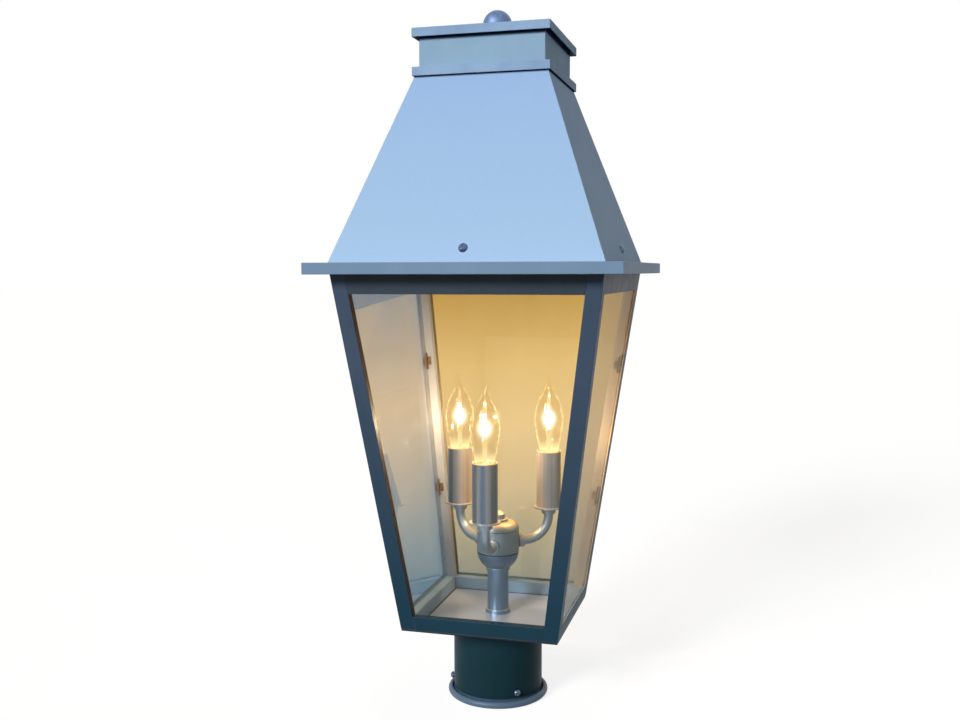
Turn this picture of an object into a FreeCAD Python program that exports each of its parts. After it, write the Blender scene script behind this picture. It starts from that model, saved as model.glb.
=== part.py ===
"""Post top lantern: a tapered four-sided lantern on a three inch post fitter.

Millimetres, +Z up.  The origin is the centre of the mouth of the post fitter, at its lowest edge.
The front of the lantern faces -Y and its right side faces +X.
"""
import FreeCAD, Part
import math
import os
import types

import Sketcher

# Driving dimensions: name, value, what it measures.  Heights that stack start from the piece below.
DRIVING_SIZES = [
    ("bore_radius", 38.7, "inside radius of the fitter, for a three inch post"),
    ("fitter_wall", 1.3, "sheet of the fitter"),
    ("bead_radius", 3.275, "outer radius of the curled edge at the fitter's mouth"),
    ("bead_turn", 100.0, "angle at which the curl ends, past its outermost point"),
    ("fitter_height", 72.6, "fitter from its mouth to the base plate"),
    ("fitter_eye", 26.0, "radius of the hole in the fitter's top"),
    ("grip_turn", 38.5, "angle of the first set screw from the front"),
    ("grip_height", 12.7, "set screws above the mouth"),
    ("grip_shank", 2.0, "radius of a set screw"),
    ("grip_head", 3.2, "radius of a set screw's head"),
    ("grip_dome", 2.6, "height of a set screw's head"),
    ("grip_stand", 1.2, "set screw head off the fitter at rest"),
    ("grip_tip_gap", 0.1, "tip of a set screw short of the bore"),
    ("thread_gap", 0.1, "radial clearance of a screw in its hole"),
    ("slot_width", 0.9, "driver slot across a screw head"),
    ("slot_depth", 1.0, "depth of the driver slot"),
    ("base_half", 68.7, "half width of the base plate"),
    ("base_sheet", 1.5, "base plate thickness"),
    ("frame_height", 314.6, "glazed frame, from the base plate to the brim"),
    ("frame_half_low", 69.0, "half width of the frame at its foot"),
    ("frame_half_top", 113.65, "half width of the frame under the brim"),
    ("stile_width", 11.5, "square core of the corner posts and depth of the rails"),
    ("lip_reach", 1.5, "lip that overlaps the edge of a pane"),
    ("lip_sheet", 1.3, "thickness of the lips"),
    ("low_rail_height", 12.3, "bottom rail with its lip"),
    ("top_rail_height", 24.2, "top rail with its lip"),
    ("pane_sheet", 3.0, "glass thickness"),
    ("pane_gap", 0.3, "clearance round the edge of a pane"),
    ("clip_low", 88.7, "lower glass clips above the base plate"),
    ("clip_high", 211.6, "upper glass clips above the base plate"),
    ("clip_height", 16.0, "strip of a clip along the edge of the pane"),
    ("clip_strip", 3.6, "width of that strip"),
    ("clip_tab", 7.5, "height of the tab against the post"),
    ("clip_reach", 4.5, "tab along the post"),
    ("clip_sheet", 0.8, "thickness of a clip"),
    ("brim_half", 129.5, "half width of the brim"),
    ("brim_skirt", 8.2, "turned down edge of the brim below its plate"),
    ("brim_collar", 20.0, "turned up collar of the brim inside the roof"),
    ("roof_sheet", 1.3, "sheet of the brim, roof, chimney and cap"),
    ("roof_height", 155.5, "roof, from the brim to the neck ring"),
    ("roof_half_low", 113.5, "half width of the roof at the brim"),
    ("roof_half_top", 57.0, "half width of the roof at its top"),
    ("roof_screw_height", 11.3, "roof screws above the brim"),
    ("roof_screw_shank", 2.0, "radius of a roof screw"),
    ("roof_screw_head", 3.9, "radius of a roof screw's head"),
    ("roof_screw_dome", 2.7, "height of a roof screw's head"),
    ("roof_slot_turn", 45.0, "driver slot of a roof screw from the level"),
    ("bearing_gap", 0.3, "roof screw's tip from the brim collar"),
    ("press_nut_half", 5.5, "half width of a pressed nut"),
    ("press_nut_sheet", 3.0, "thickness of a pressed nut"),
    ("neck_half", 59.0, "half width of the neck ring"),
    ("neck_height", 7.5, "height of the neck ring"),
    ("chimney_half", 54.0, "half width of the chimney"),
    ("chimney_rise", 38.2, "chimney above the roof"),
    ("chimney_dip", 4.5, "chimney below the top of the roof"),
    ("vent_width", 40.0, "vent notch in each side of the chimney"),
    ("vent_height", 4.5, "height of a vent notch"),
    ("cap_half", 59.0, "half width of the chimney cap"),
    ("cap_skirt", 6.2, "turned down edge of the cap below its plate"),
    ("ball_radius", 12.7, "radius of the ball finial"),
    ("ball_rise", 11.0, "centre of the ball above the cap"),
    ("stud_radius", 3.0, "stud under the ball"),
    ("stud_gap", 0.15, "stud in the holes that it passes"),
    ("stud_tail", 6.0, "stud below the bridge"),
    ("bridge_drop", 22.0, "bridge below the cap"),
    ("bridge_half_width", 7.0, "half width of the bridge"),
    ("bridge_sheet", 2.0, "thickness of the bridge"),
    ("bridge_tab", 10.0, "turned up ends of the bridge"),
    ("nipple_radius", 5.15, "radius of the threaded centre nipple"),
    ("nipple_bore", 3.8, "wire way through the nipple"),
    ("nipple_tail", 1.2, "nipple below the base plate, clear of the post"),
    ("nipple_gap", 0.15, "clearance round the nipple"),
    ("locknut_radius", 9.2, "corner radius of the hexagon locknut"),
    ("locknut_sheet", 1.1, "thickness of the pressed hexagon locknut"),
    ("stem_radius", 9.55, "radius of the cluster's stem"),
    ("stem_height", 41.9, "stem from the base plate to the bowl"),
    ("stem_foot", 11.2, "radius of the ring at the foot of the stem"),
    ("stem_foot_height", 3.4, "height of that ring"),
    ("stem_collar", 10.9, "radius of the ring at the top of the stem"),
    ("stem_collar_height", 2.6, "height of that ring"),
    ("hub_radius", 19.05, "radius of the cluster's hub"),
    ("hub_wall", 1.5, "sheet of the hub"),
    ("bowl_height", 14.0, "bowl below the hub"),
    ("bowl_curve", 19.12, "radius of the bowl's side"),
    ("hub_height", 20.6, "straight band of the hub"),
    ("hub_seam", 0.7, "step at both ends of the band"),
    ("dome_height", 7.4, "cap above the hub and radius of its shoulder"),
    ("finial_washer", 9.0, "radius of the washer under the knob"),
    ("finial_washer_height", 2.0, "thickness of that washer"),
    ("knob_radius", 6.2, "radius of the knob"),
    ("knob_crown", 2.8, "domed top of the knob"),
    ("knob_height", 7.2, "height of the knob"),
    ("knob_wall", 2.4, "knob above the end of the nipple"),
    ("cluster_turn", 1.2, "turn of the three arms from the front"),
    ("arm_level", 8.5, "arms above the lower edge of the hub band"),
    ("arm_reach", 48.5, "candles from the centre"),
    ("arm_radius", 4.2, "outside radius of an arm"),
    ("arm_bore", 3.1, "inside radius of an arm"),
    ("arm_bend", 22.0, "bend radius of an arm"),
    ("arm_tip", 5.3, "straight end of an arm above its bend"),
    ("arm_tail", 4.6, "threaded end of an arm inside the hub"),
    ("arm_gap", 0.15, "clearance round an arm"),
    ("arm_collar_radius", 6.1, "radius of the collar on an arm"),
    ("arm_collar_length", 5.0, "length of that collar"),
    ("arm_nut_radius", 6.4, "corner radius of the nut inside the hub"),
    ("arm_nut_sheet", 2.2, "thickness of that nut"),
    ("cup_radius", 6.5, "radius of a candle cup"),
    ("cup_height", 4.6, "candle cup below its drip pan"),
    ("cup_foot", 5.5, "radius of the foot of a candle cup"),
    ("cup_step", 1.1, "height of the foot of a candle cup"),
    ("pan_radius", 13.6, "radius of a drip pan"),
    ("pan_rise", 1.3, "rise of the drip pan to its edge"),
    ("pan_edge", 1.1, "edge of a drip pan"),
    ("sleeve_radius", 11.1, "outside radius of a candle sleeve"),
    ("sleeve_wall", 0.9, "wall of a candle sleeve"),
    ("sleeve_height", 51.5, "height of a candle sleeve"),
    ("socket_radius", 9.3, "radius of a lamp socket"),
    ("socket_leg", 5.6, "radius of the leg under the socket"),
    ("socket_leg_height", 19.0, "leg under the socket"),
    ("socket_floor", 3.0, "floor of the socket"),
    ("cap_radius", 5.95, "radius of the lamp's metal cap"),
    ("cap_length", 19.0, "length of the lamp's metal cap"),
    ("cap_gap", 0.35, "lamp cap in its socket"),
    ("cap_lift", 0.8, "lamp cap above the socket's floor"),
    ("cap_show", 1.0, "lamp cap above the top of the socket"),
    ("contact_radius", 2.2, "radius of the contact under the lamp cap"),
    ("contact_height", 0.7, "height of that contact"),
    ("lamp_neck", 5.1, "radius of the glass in the lamp cap"),
    ("lamp_radius", 13.1, "largest radius of the lamp glass"),
    ("lamp_belly", 30.7, "widest point of the glass above the sleeve"),
    ("lamp_length", 67.7, "tip of the glass above the sleeve"),
    ("lamp_glass", 0.8, "wall of the lamp glass"),
    ("lamp_shoulder_radius", 9.0, "radius of the glass where it starts to narrow straight"),
    ("lamp_shoulder", 46.3, "that place above the sleeve"),
    ("lamp_throat_radius", 3.9, "radius of the glass below its drawn out tip"),
    ("lamp_throat", 55.3, "that place above the sleeve"),
    ("lamp_tip", 1.3, "radius of the glass at its tip"),
    ("throat_curve", 24.0, "radius of the hollow below the tip"),
    ("mount_radius", 2.4, "glass mount inside the lamp"),
    ("mount_height", 17.0, "glass mount above the sleeve"),
    ("wire_radius", 0.45, "filament wire"),
    ("wire_spread", 1.8, "half the distance between the legs of the filament"),
    ("wire_height", 37.5, "top of the filament above the sleeve"),
]

SIDES = ("front", "right", "back", "left")
ARMS = ("front", "right", "left")
GRIPS = ("front", "back", "left")
QUARTER_TURN = 90.0
THIRD_TURN = 120.0
FULL_TURN = 360.0


class Size:
    """A dimension that knows its formula over the sheet as well as its present value."""

    def __init__(self, text, value):
        self.text = text
        self.value = value

    def joined(self, sign, other, value):
        return Size(f"({self.text} {sign} {as_size(other).text})", value)

    def __add__(self, other):
        return self.joined("+", other, self.value + as_size(other).value)

    def __sub__(self, other):
        return self.joined("-", other, self.value - as_size(other).value)

    def __mul__(self, other):
        return self.joined("*", other, self.value * as_size(other).value)

    def __truediv__(self, other):
        return self.joined("/", other, self.value / as_size(other).value)

    def __neg__(self):
        return Size(f"(-1 * {self.text})", -self.value)


def as_size(number):
    """Take a plain number as a size."""
    return number if isinstance(number, Size) else Size(repr(float(number)), float(number))


def root(size):
    return Size(f"sqrt({size.text})", math.sqrt(size.value))


def cosine(angle):
    return Size(f"cos({angle.text})", math.cos(math.radians(angle.value)))


def sine(angle):
    return Size(f"sin({angle.text})", math.sin(math.radians(angle.value)))


def slope_angle(slope):
    """Angle whose tangent is the slope, in degrees."""
    return Size(f"(atan({slope.text}) / 1 deg)", math.degrees(math.atan(slope.value)))


class Bow:
    """An arc that leaves a corner: its radius, its centre and the way it turns."""

    def __init__(self, radius, centre, counter_clockwise=True):
        self.radius = as_size(radius)
        self.centre = tuple(as_size(part) for part in centre)
        self.counter_clockwise = counter_clockwise


def make_sheet(doc):
    """Write the driving dimensions into the sheet and return them as sizes."""
    sheet = doc.addObject("Spreadsheet::Sheet", "Sizes")
    sizes = types.SimpleNamespace()
    for row, (name, value, note) in enumerate(DRIVING_SIZES, start=1):
        sheet.set(f"A{row}", name)
        sheet.set(f"B{row}", str(value))
        sheet.set(f"C{row}", note)
        sheet.setAlias(f"B{row}", name)
        setattr(sizes, name, Size(f"Sizes.{name}", value))
    doc.recompute()
    return sizes


# ---------------------------------------------------------------- drawing and shaping

def origin_item(body, role):
    """The plane or axis of a body's own origin."""
    return next(item for item in body.Origin.OriginFeatures if item.Role == role)


def bind(thing, path, size):
    thing.setExpression(path, as_size(size).text)


def new_body(doc, label):
    """A body for one sub-part; it may hold several equal solids."""
    body = doc.addObject("PartDesign::Body", label)
    body.Label = label
    body.AllowCompound = True
    return body


def place(body, turn=0.0, x=0.0, y=0.0, z=0.0, axis=(0, 0, 1)):
    """Turn a body about an axis through its origin, then move its origin."""
    spot = FreeCAD.Vector(*(as_size(part).value for part in (x, y, z)))
    turn = as_size(turn)
    body.Placement = FreeCAD.Placement(spot, FreeCAD.Rotation(FreeCAD.Vector(*axis), turn.value))
    bind(body, ".Placement.Rotation.Angle", turn)
    for path, part in (("x", x), ("y", y), ("z", z)):
        bind(body, f".Placement.Base.{path}", part)


def new_sketch(body, plane, name, shift=(0.0, 0.0, 0.0), tilt=0.0):
    """A sketch on an origin plane, moved by shift and tilted about the plane's own first axis."""
    sketch = body.newObject("Sketcher::SketchObject", f"{body.Name}_{name}")
    sketch.AttachmentSupport = [(origin_item(body, plane), "")]
    sketch.MapMode = "FlatFace"
    tilt = as_size(tilt)
    rotation = FreeCAD.Rotation(FreeCAD.Vector(1, 0, 0), tilt.value)
    spot = FreeCAD.Vector(*(as_size(part).value for part in shift))
    sketch.AttachmentOffset = FreeCAD.Placement(spot, rotation)
    for letter, part in zip("xyz", shift):
        bind(sketch, f".AttachmentOffset.Base.{letter}", part)
    if tilt.value:
        bind(sketch, ".AttachmentOffset.Rotation.Angle", tilt)
    return sketch


def tie_point(sketch, side, end, corner):
    """Fix one end of a side at its distances from the sketch's origin."""
    for kind, axis, size in (("DistanceX", -2, corner[0]), ("DistanceY", -1, corner[1])):
        size = as_size(size)
        if size.value == 0.0:
            sketch.addConstraint(Sketcher.Constraint("PointOnObject", side, end, axis))
        else:
            row = sketch.addConstraint(Sketcher.Constraint(kind, -1, 1, side, end, size.value))
            bind(sketch, f"Constraints[{row}]", size)


def flat_point(corner):
    return FreeCAD.Vector(as_size(corner[0]).value, as_size(corner[1]).value, 0)


def arc_edge(bow, start, finish):
    """The arc round the bow's centre, in the direction in which arcs are stored."""
    centre = flat_point(bow.centre)
    first, last = (start, finish) if bow.counter_clockwise else (finish, start)
    angles = [math.atan2(point.y - centre.y, point.x - centre.x) for point in (first, last)]
    circle = Part.Circle(centre, FreeCAD.Vector(0, 0, 1), bow.radius.value)
    return Part.ArcOfCircle(circle, angles[0], angles[1])


def add_side(sketch, corner, following):
    """Add the line or arc that leaves a corner; return its number and its two ends."""
    start, finish = flat_point(corner), flat_point(following)
    bow = corner[2] if len(corner) > 2 else None
    if bow is None:
        return sketch.addGeometry(Part.LineSegment(start, finish), False), 1, 2
    side = sketch.addGeometry(arc_edge(bow, start, finish), False)
    row = sketch.addConstraint(Sketcher.Constraint("Radius", side, bow.radius.value))
    bind(sketch, f"Constraints[{row}]", bow.radius)
    return (side, 1, 2) if bow.counter_clockwise else (side, 2, 1)


def add_outline(sketch, corners, closed=True):
    """Draw a chain of sides; each corner is (x, y) or (x, y, Bow)."""
    count = len(corners) if closed else len(corners) - 1
    sides = [add_side(sketch, corners[i], corners[(i + 1) % len(corners)]) for i in range(count)]
    for i, (side, start, end) in enumerate(sides):
        tie_point(sketch, side, start, corners[i])
        if closed or i + 1 < count:
            following, next_start = sides[(i + 1) % count][:2]
            sketch.addConstraint(Sketcher.Constraint("Coincident", side, end, following, next_start))
    if not closed:
        tie_point(sketch, sides[-1][0], sides[-1][2], corners[-1])


def add_circle(sketch, radius, x=0.0, y=0.0):
    circle = Part.Circle(flat_point((x, y)), FreeCAD.Vector(0, 0, 1), as_size(radius).value)
    side = sketch.addGeometry(circle, False)
    row = sketch.addConstraint(Sketcher.Constraint("Radius", side, as_size(radius).value))
    bind(sketch, f"Constraints[{row}]", radius)
    tie_point(sketch, side, 3, (x, y))


def square(half):
    return [(-half, -half), (half, -half), (half, half), (-half, half)]


def rectangle(left, low, right, high):
    return [(left, low), (right, low), (right, high), (left, high)]


def regular_outline(corner_radius, count):
    """Corners of a regular figure round the sketch's origin, the first on its first axis."""
    angles = [Size(repr(FULL_TURN * i / count), FULL_TURN * i / count) for i in range(count)]
    return [(corner_radius * cosine(angle), corner_radius * sine(angle)) for angle in angles]


def extruded(body, kind, sketch, length, backward=False):
    """Pad or pocket a sketch by a length along its normal, or the other way."""
    feature = body.newObject(f"PartDesign::{kind}", f"{sketch.Name}_{kind.lower()}")
    feature.Profile = sketch
    bind(feature, "Length", length)
    feature.Reversed = backward
    return feature


def leaning_pad(body, sketch, rise, lean_x, lean_y):
    """Pad a level sketch upwards along a leaning line, its length measured straight up."""
    pad = extruded(body, "Pad", sketch, rise)
    pad.UseCustomVector = True
    pad.AlongSketchNormal = True
    pad.Direction = FreeCAD.Vector(as_size(lean_x).value, as_size(lean_y).value, 1)
    bind(pad, ".Direction.x", lean_x)
    bind(pad, ".Direction.y", lean_y)
    return pad


def level_prism(body, name, low, high, outline, hole=None):
    """Pad an outline between two levels."""
    sketch = new_sketch(body, "XY_Plane", name, (0.0, 0.0, low))
    add_outline(sketch, outline)
    if hole is not None:
        add_outline(sketch, hole)
    return extruded(body, "Pad", sketch, high - low)


def ruled_block(body, name, kind, low, high, outline_low, outline_high):
    """Loft straight from an outline at one level to an outline at another."""
    sections = []
    for tag, level, outline in (("foot", low, outline_low), ("head", high, outline_high)):
        sketch = new_sketch(body, "XY_Plane", f"{name}_{tag}", (0.0, 0.0, level))
        add_outline(sketch, outline)
        sections.append(sketch)
    loft = body.newObject(f"PartDesign::{kind}Loft", f"{body.Name}_{name}_loft")
    loft.Profile = sections[0]
    loft.Sections = sections[1:]
    loft.Ruled = True
    return loft


def turned(body, name, outline, kind="Revolution", offset=0.0):
    """Turn an outline of (radius, height) corners round an upright axis at an offset along X."""
    sketch = new_sketch(body, "XZ_Plane", name, (offset, 0.0, 0.0))
    add_outline(sketch, outline)
    feature = body.newObject(f"PartDesign::{kind}", f"{sketch.Name}_turned")
    feature.Profile = sketch
    feature.ReferenceAxis = (sketch, ["V_Axis"])
    feature.Angle = FULL_TURN
    return feature


def repeated(body, features, count):
    """Repeat features evenly round the body's upright axis."""
    pattern = body.newObject("PartDesign::PolarPattern", f"{body.Name}_pattern")
    pattern.Originals = features
    pattern.Axis = (origin_item(body, "Z_Axis"), [""])
    pattern.Angle = FULL_TURN
    pattern.Occurrences = count
    body.Tip = pattern
    return pattern


# ---------------------------------------------------------------- levels and shared places

def work_out_levels(s):
    """Levels and slopes that several pieces share."""
    s.floor = s.fitter_height + s.base_sheet
    s.frame_lean = (s.frame_half_top - s.frame_half_low) / s.frame_height
    s.frame_top = s.floor + s.frame_height
    s.brim_top = s.frame_top + s.roof_sheet
    s.roof_top = s.brim_top + s.roof_height
    s.roof_lean = (s.roof_half_low - s.roof_half_top) / s.roof_height
    s.roof_stretch = root(s.roof_lean * s.roof_lean + 1.0)
    s.roof_tilt = slope_angle(s.roof_lean)
    s.chimney_top = s.roof_top + s.chimney_rise
    s.cap_top = s.chimney_top + s.roof_sheet
    s.bridge_top = s.chimney_top - s.bridge_drop
    s.stem_top = s.floor + s.stem_height
    s.hub_low = s.stem_top + s.bowl_height
    s.hub_top = s.hub_low + s.hub_height
    s.dome_top = s.hub_top + s.dome_height
    s.arm_axis = s.hub_low + s.arm_level
    s.arm_end = s.arm_axis + s.arm_bend + s.arm_tip
    s.pan_top = s.arm_end + s.pan_rise + s.pan_edge
    s.sleeve_top = s.pan_top + s.sleeve_height
    s.socket_low = s.pan_top + s.socket_leg_height
    s.lamp_cap_low = s.socket_low + s.socket_floor + s.cap_lift
    s.lamp_cap_top = s.lamp_cap_low + s.cap_length
    s.socket_top = s.lamp_cap_top - s.cap_show
    s.lamp_top = s.sleeve_top + s.lamp_length


def frame_half(s, level):
    """Half width of the tapered frame at a level."""
    return s.frame_half_low + s.frame_lean * (level - s.floor)


def roof_half(s, level, inward=0.0):
    """Half width of the roof at a level, less a thickness measured square to the sheet."""
    return s.roof_half_low - s.roof_lean * (level - s.brim_top) - s.roof_stretch * inward


# ---------------------------------------------------------------- post fitter and its screws

def post_fitter(doc, s):
    """Rolled tube with a curled mouth, a top flange and three threaded holes."""
    body = new_body(doc, "post_fitter")
    outer = s.bore_radius + s.fitter_wall
    bead_centre = (s.bore_radius + s.bead_radius, s.bead_radius)
    bead_inner = s.bead_radius - s.fitter_wall
    curl_end = [(bead_centre[0] + r * cosine(s.bead_turn), bead_centre[1] + r * sine(s.bead_turn))
                for r in (s.bead_radius, bead_inner)]
    under_flange = s.fitter_height - s.fitter_wall
    turned(body, "tube", [
        (s.fitter_eye, under_flange),
        (s.bore_radius, under_flange),
        (s.bore_radius, s.bead_radius, Bow(s.bead_radius, bead_centre)),
        curl_end[0],
        (*curl_end[1], Bow(bead_inner, bead_centre, counter_clockwise=False)),
        (outer, s.bead_radius),
        (outer, s.fitter_height),
        (s.fitter_eye, s.fitter_height),
    ])
    sketch = new_sketch(body, "XZ_Plane", "hole")
    add_circle(sketch, s.grip_shank + s.thread_gap, 0.0, s.grip_height)
    hole = extruded(body, "Pocket", sketch, outer + s.fitter_wall, backward=True)
    repeated(body, [hole], len(GRIPS))
    place(body, turn=s.grip_turn)
    return body


def crown_radius(half_span, rise):
    """Radius of a dome that is level at its top, from its half span and its rise."""
    return (half_span * half_span + rise * rise) / (rise * 2.0)


def slotted_screw(doc, label, head_radius, dome, stand, shank, tip, s):
    """Screw along +Z with a domed, slotted head; the face it goes through is at zero."""
    body = new_body(doc, label)
    dome_radius = crown_radius(head_radius, dome)
    crown = stand + dome
    turned(body, "shape", [
        (0.0, -tip),
        (shank, -tip),
        (shank, stand),
        (head_radius, stand, Bow(dome_radius, (0.0, crown - dome_radius))),
        (0.0, crown),
    ])
    sketch = new_sketch(body, "XY_Plane", "slot", (0.0, 0.0, crown))
    add_outline(sketch, rectangle(-head_radius, -s.slot_width / 2.0, head_radius, s.slot_width / 2.0))
    extruded(body, "Pocket", sketch, s.slot_depth)
    return body


def set_screws(doc, s):
    """Three screws that grip the post; each stands out from the fitter's wall."""
    screws = []
    outer = s.bore_radius + s.fitter_wall
    for i, name in enumerate(GRIPS):
        body = slotted_screw(doc, f"set_screw_{name}", s.grip_head, s.grip_dome, s.grip_stand,
                             s.grip_shank, s.fitter_wall - s.grip_tip_gap, s)
        turn = s.grip_turn + i * THIRD_TURN
        lay_out(body, turn, 0.0, outer, s.grip_height)
        screws.append(body)
    return screws


def lay_out(body, turn, tilt, radius, level, roll=0.0):
    """Point a body's +Z away from the upright axis at a turn from the front, tilted upwards.

    The roll turns the body about its own +Z before it is laid out.
    """
    turn, tilt, radius = as_size(turn), as_size(tilt), as_size(radius)
    spin = FreeCAD.Rotation(FreeCAD.Vector(0, 0, 1), turn.value)
    lean = FreeCAD.Rotation(FreeCAD.Vector(1, 0, 0), QUARTER_TURN - tilt.value)
    own_turn = FreeCAD.Rotation(FreeCAD.Vector(0, 0, 1), as_size(roll).value)
    spot = spin.multVec(FreeCAD.Vector(0, -radius.value, as_size(level).value))
    body.Placement = FreeCAD.Placement(spot, spin * lean * own_turn)
    bind(body, ".Placement.Base.x", radius * sine(turn))
    bind(body, ".Placement.Base.y", -(radius * cosine(turn)))
    bind(body, ".Placement.Base.z", level)


# ---------------------------------------------------------------- base, posts, rails and glass

def base_plate(doc, s):
    """Square floor of the lantern with a hole for the centre nipple."""
    body = new_body(doc, "base_plate")
    sketch = new_sketch(body, "XY_Plane", "plate", (0.0, 0.0, s.fitter_height))
    add_outline(sketch, square(s.base_half))
    add_circle(sketch, s.nipple_radius + s.nipple_gap)
    extruded(body, "Pad", sketch, s.base_sheet)
    return body


def corner_posts(doc, s):
    """Four leaning posts: a square core, with a lip along each pane it borders."""
    posts = []
    edge = s.frame_half_low
    lip = edge - s.stile_width - s.lip_reach
    core = edge - s.stile_width
    skin = edge - s.lip_sheet
    outline = [(edge, -edge), (edge, -lip), (skin, -lip), (skin, -core),
               (core, -core), (core, -skin), (lip, -skin), (lip, -edge)]
    for i, (first, second) in enumerate(zip(SIDES, SIDES[1:] + SIDES[:1])):
        body = new_body(doc, f"corner_post_{first}_{second}")
        sketch = new_sketch(body, "XY_Plane", "section", (0.0, 0.0, s.floor))
        add_outline(sketch, outline)
        leaning_pad(body, sketch, s.frame_height, s.frame_lean, -s.frame_lean)
        place(body, turn=QUARTER_TURN * i)
        posts.append(body)
    return posts


def rail_core(s, level):
    """Section of a rail between two posts, stepped round their lips."""
    edge = frame_half(s, level)
    core = edge - s.stile_width
    lip = core - s.lip_reach
    skin = edge - s.lip_sheet
    return [(-lip, -edge), (lip, -edge), (lip, -skin), (core, -skin),
            (core, -core), (-core, -core), (-core, -skin), (-lip, -skin)]


def rail_lip(s, level):
    """Section of the lip of a rail, in line with the frame's face."""
    edge = frame_half(s, level)
    lip = edge - s.stile_width - s.lip_reach
    return rectangle(-lip, -edge, lip, s.lip_sheet - edge)


def rails(doc, s, name, core_levels, lip_levels):
    """One rail on each side: a core and the lip that overlaps the pane."""
    made = []
    for i, side in enumerate(SIDES):
        body = new_body(doc, f"{name}_{side}")
        for part, section, levels in (("core", rail_core, core_levels), ("lip", rail_lip, lip_levels)):
            ruled_block(body, part, "Additive", *levels, section(s, levels[0]), section(s, levels[1]))
        place(body, turn=QUARTER_TURN * i)
        made.append(body)
    return made


def bottom_rails(doc, s):
    lip_top = s.floor + s.low_rail_height
    core_top = lip_top - s.lip_reach
    return rails(doc, s, "bottom_rail", (s.floor, core_top), (core_top, lip_top))


def top_rails(doc, s):
    lip_low = s.frame_top - s.top_rail_height
    core_low = lip_low + s.lip_reach
    return rails(doc, s, "top_rail", (core_low, s.frame_top), (lip_low, core_low))


def pane_section(s, level):
    edge = frame_half(s, level)
    half = edge - s.stile_width - s.pane_gap
    return rectangle(-half, s.lip_sheet - edge, half, s.lip_sheet + s.pane_sheet - edge)


def glass_panes(doc, s):
    """Four tapered panes behind the lips of the posts and rails."""
    low = s.floor + s.low_rail_height - s.lip_reach + s.pane_gap
    high = s.frame_top - s.top_rail_height + s.lip_reach - s.pane_gap
    panes = []
    for i, side in enumerate(SIDES):
        body = new_body(doc, f"glass_pane_{side}")
        ruled_block(body, "pane", "Additive", low, high, pane_section(s, low), pane_section(s, high))
        place(body, turn=QUARTER_TURN * i)
        panes.append(body)
    return panes


def clip_blocks(body, s, name, level, height, along_pane, along_post):
    """Leaning blocks inside the right pane, one against each of the posts that border it."""
    edge = frame_half(s, level)
    core = edge - s.stile_width
    glass = edge - s.lip_sheet - s.pane_sheet
    blocks = []
    for post, way in (("front", -1.0), ("back", 1.0)):
        sketch = new_sketch(body, "XY_Plane", f"{name}_{post}", (0.0, 0.0, level))
        face, end = core * way, (core - along_pane) * way
        add_outline(sketch, rectangle(glass - along_post, face, glass, end))
        blocks.append(leaning_pad(body, sketch, height, s.frame_lean, s.frame_lean * way))
    return blocks


def glass_clips(doc, s):
    """Spring clips at two heights on the side panes: a strip on the glass, a tab on the post."""
    body = new_body(doc, "glass_clips")
    blocks = []
    for name, rise in (("low", s.clip_low), ("high", s.clip_high)):
        foot = s.floor + rise
        tab_foot = foot + (s.clip_height - s.clip_tab) / 2.0
        blocks += clip_blocks(body, s, f"{name}_strip", foot, s.clip_height, s.clip_strip, s.clip_sheet)
        blocks += clip_blocks(body, s, f"{name}_tab", tab_foot, s.clip_tab, s.clip_sheet, s.clip_reach)
    repeated(body, blocks, 2)
    return body


# ---------------------------------------------------------------- brim and roof

def roof_brim(doc, s):
    """Folded sheet on the frame: flat plate, turned down skirt and turned up sloping collar."""
    body = new_body(doc, "roof_brim")
    level_prism(body, "plate", s.frame_top, s.brim_top, square(s.brim_half))
    level_prism(body, "skirt", s.frame_top - s.brim_skirt, s.frame_top,
                square(s.brim_half), square(s.brim_half - s.roof_sheet))
    set_in = s.roof_sheet + s.press_nut_sheet + s.bearing_gap
    collar_top = s.brim_top + s.brim_collar
    ruled_block(body, "collar", "Additive", s.brim_top, collar_top,
                square(roof_half(s, s.brim_top, set_in)), square(roof_half(s, collar_top, set_in)))
    set_in = set_in + s.roof_sheet
    ruled_block(body, "opening", "Subtractive", s.frame_top, collar_top,
                square(roof_half(s, s.frame_top, set_in)), square(roof_half(s, collar_top, set_in)))
    return body


def panel_sketch(body, s, name, inward):
    """Sketch on the front roof panel at its screw, set in from the outer face."""
    inward = as_size(inward)
    level = s.brim_top + s.roof_screw_height
    spot_y = -(roof_half(s, level) - inward / s.roof_stretch)
    spot_z = level - inward * s.roof_lean / s.roof_stretch
    upright = as_size(QUARTER_TURN) - s.roof_tilt
    return new_sketch(body, "XY_Plane", name, (0.0, spot_y, spot_z), tilt=upright)


def roof_shell(doc, s):
    """Hollow four-sided roof with a screw hole in each panel."""
    body = new_body(doc, "roof_shell")
    for name, kind, inward in (("outer", "Additive", 0.0), ("inner", "Subtractive", s.roof_sheet)):
        ruled_block(body, name, kind, s.brim_top, s.roof_top,
                    square(roof_half(s, s.brim_top, inward)), square(roof_half(s, s.roof_top, inward)))
    sketch = panel_sketch(body, s, "hole", 0.0)
    add_circle(sketch, s.roof_screw_shank + s.thread_gap)
    hole = extruded(body, "Pocket", sketch, s.roof_sheet * 2.0)
    repeated(body, [hole], len(SIDES))
    return body


def roof_nuts(doc, s):
    """Pressed nuts behind the roof panels, one for each roof screw."""
    body = new_body(doc, "roof_nuts")
    sketch = panel_sketch(body, s, "nut", s.roof_sheet)
    add_outline(sketch, square(s.press_nut_half))
    add_circle(sketch, s.roof_screw_shank + s.thread_gap)
    nut = extruded(body, "Pad", sketch, s.press_nut_sheet, backward=True)
    repeated(body, [nut], len(SIDES))
    return body


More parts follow.
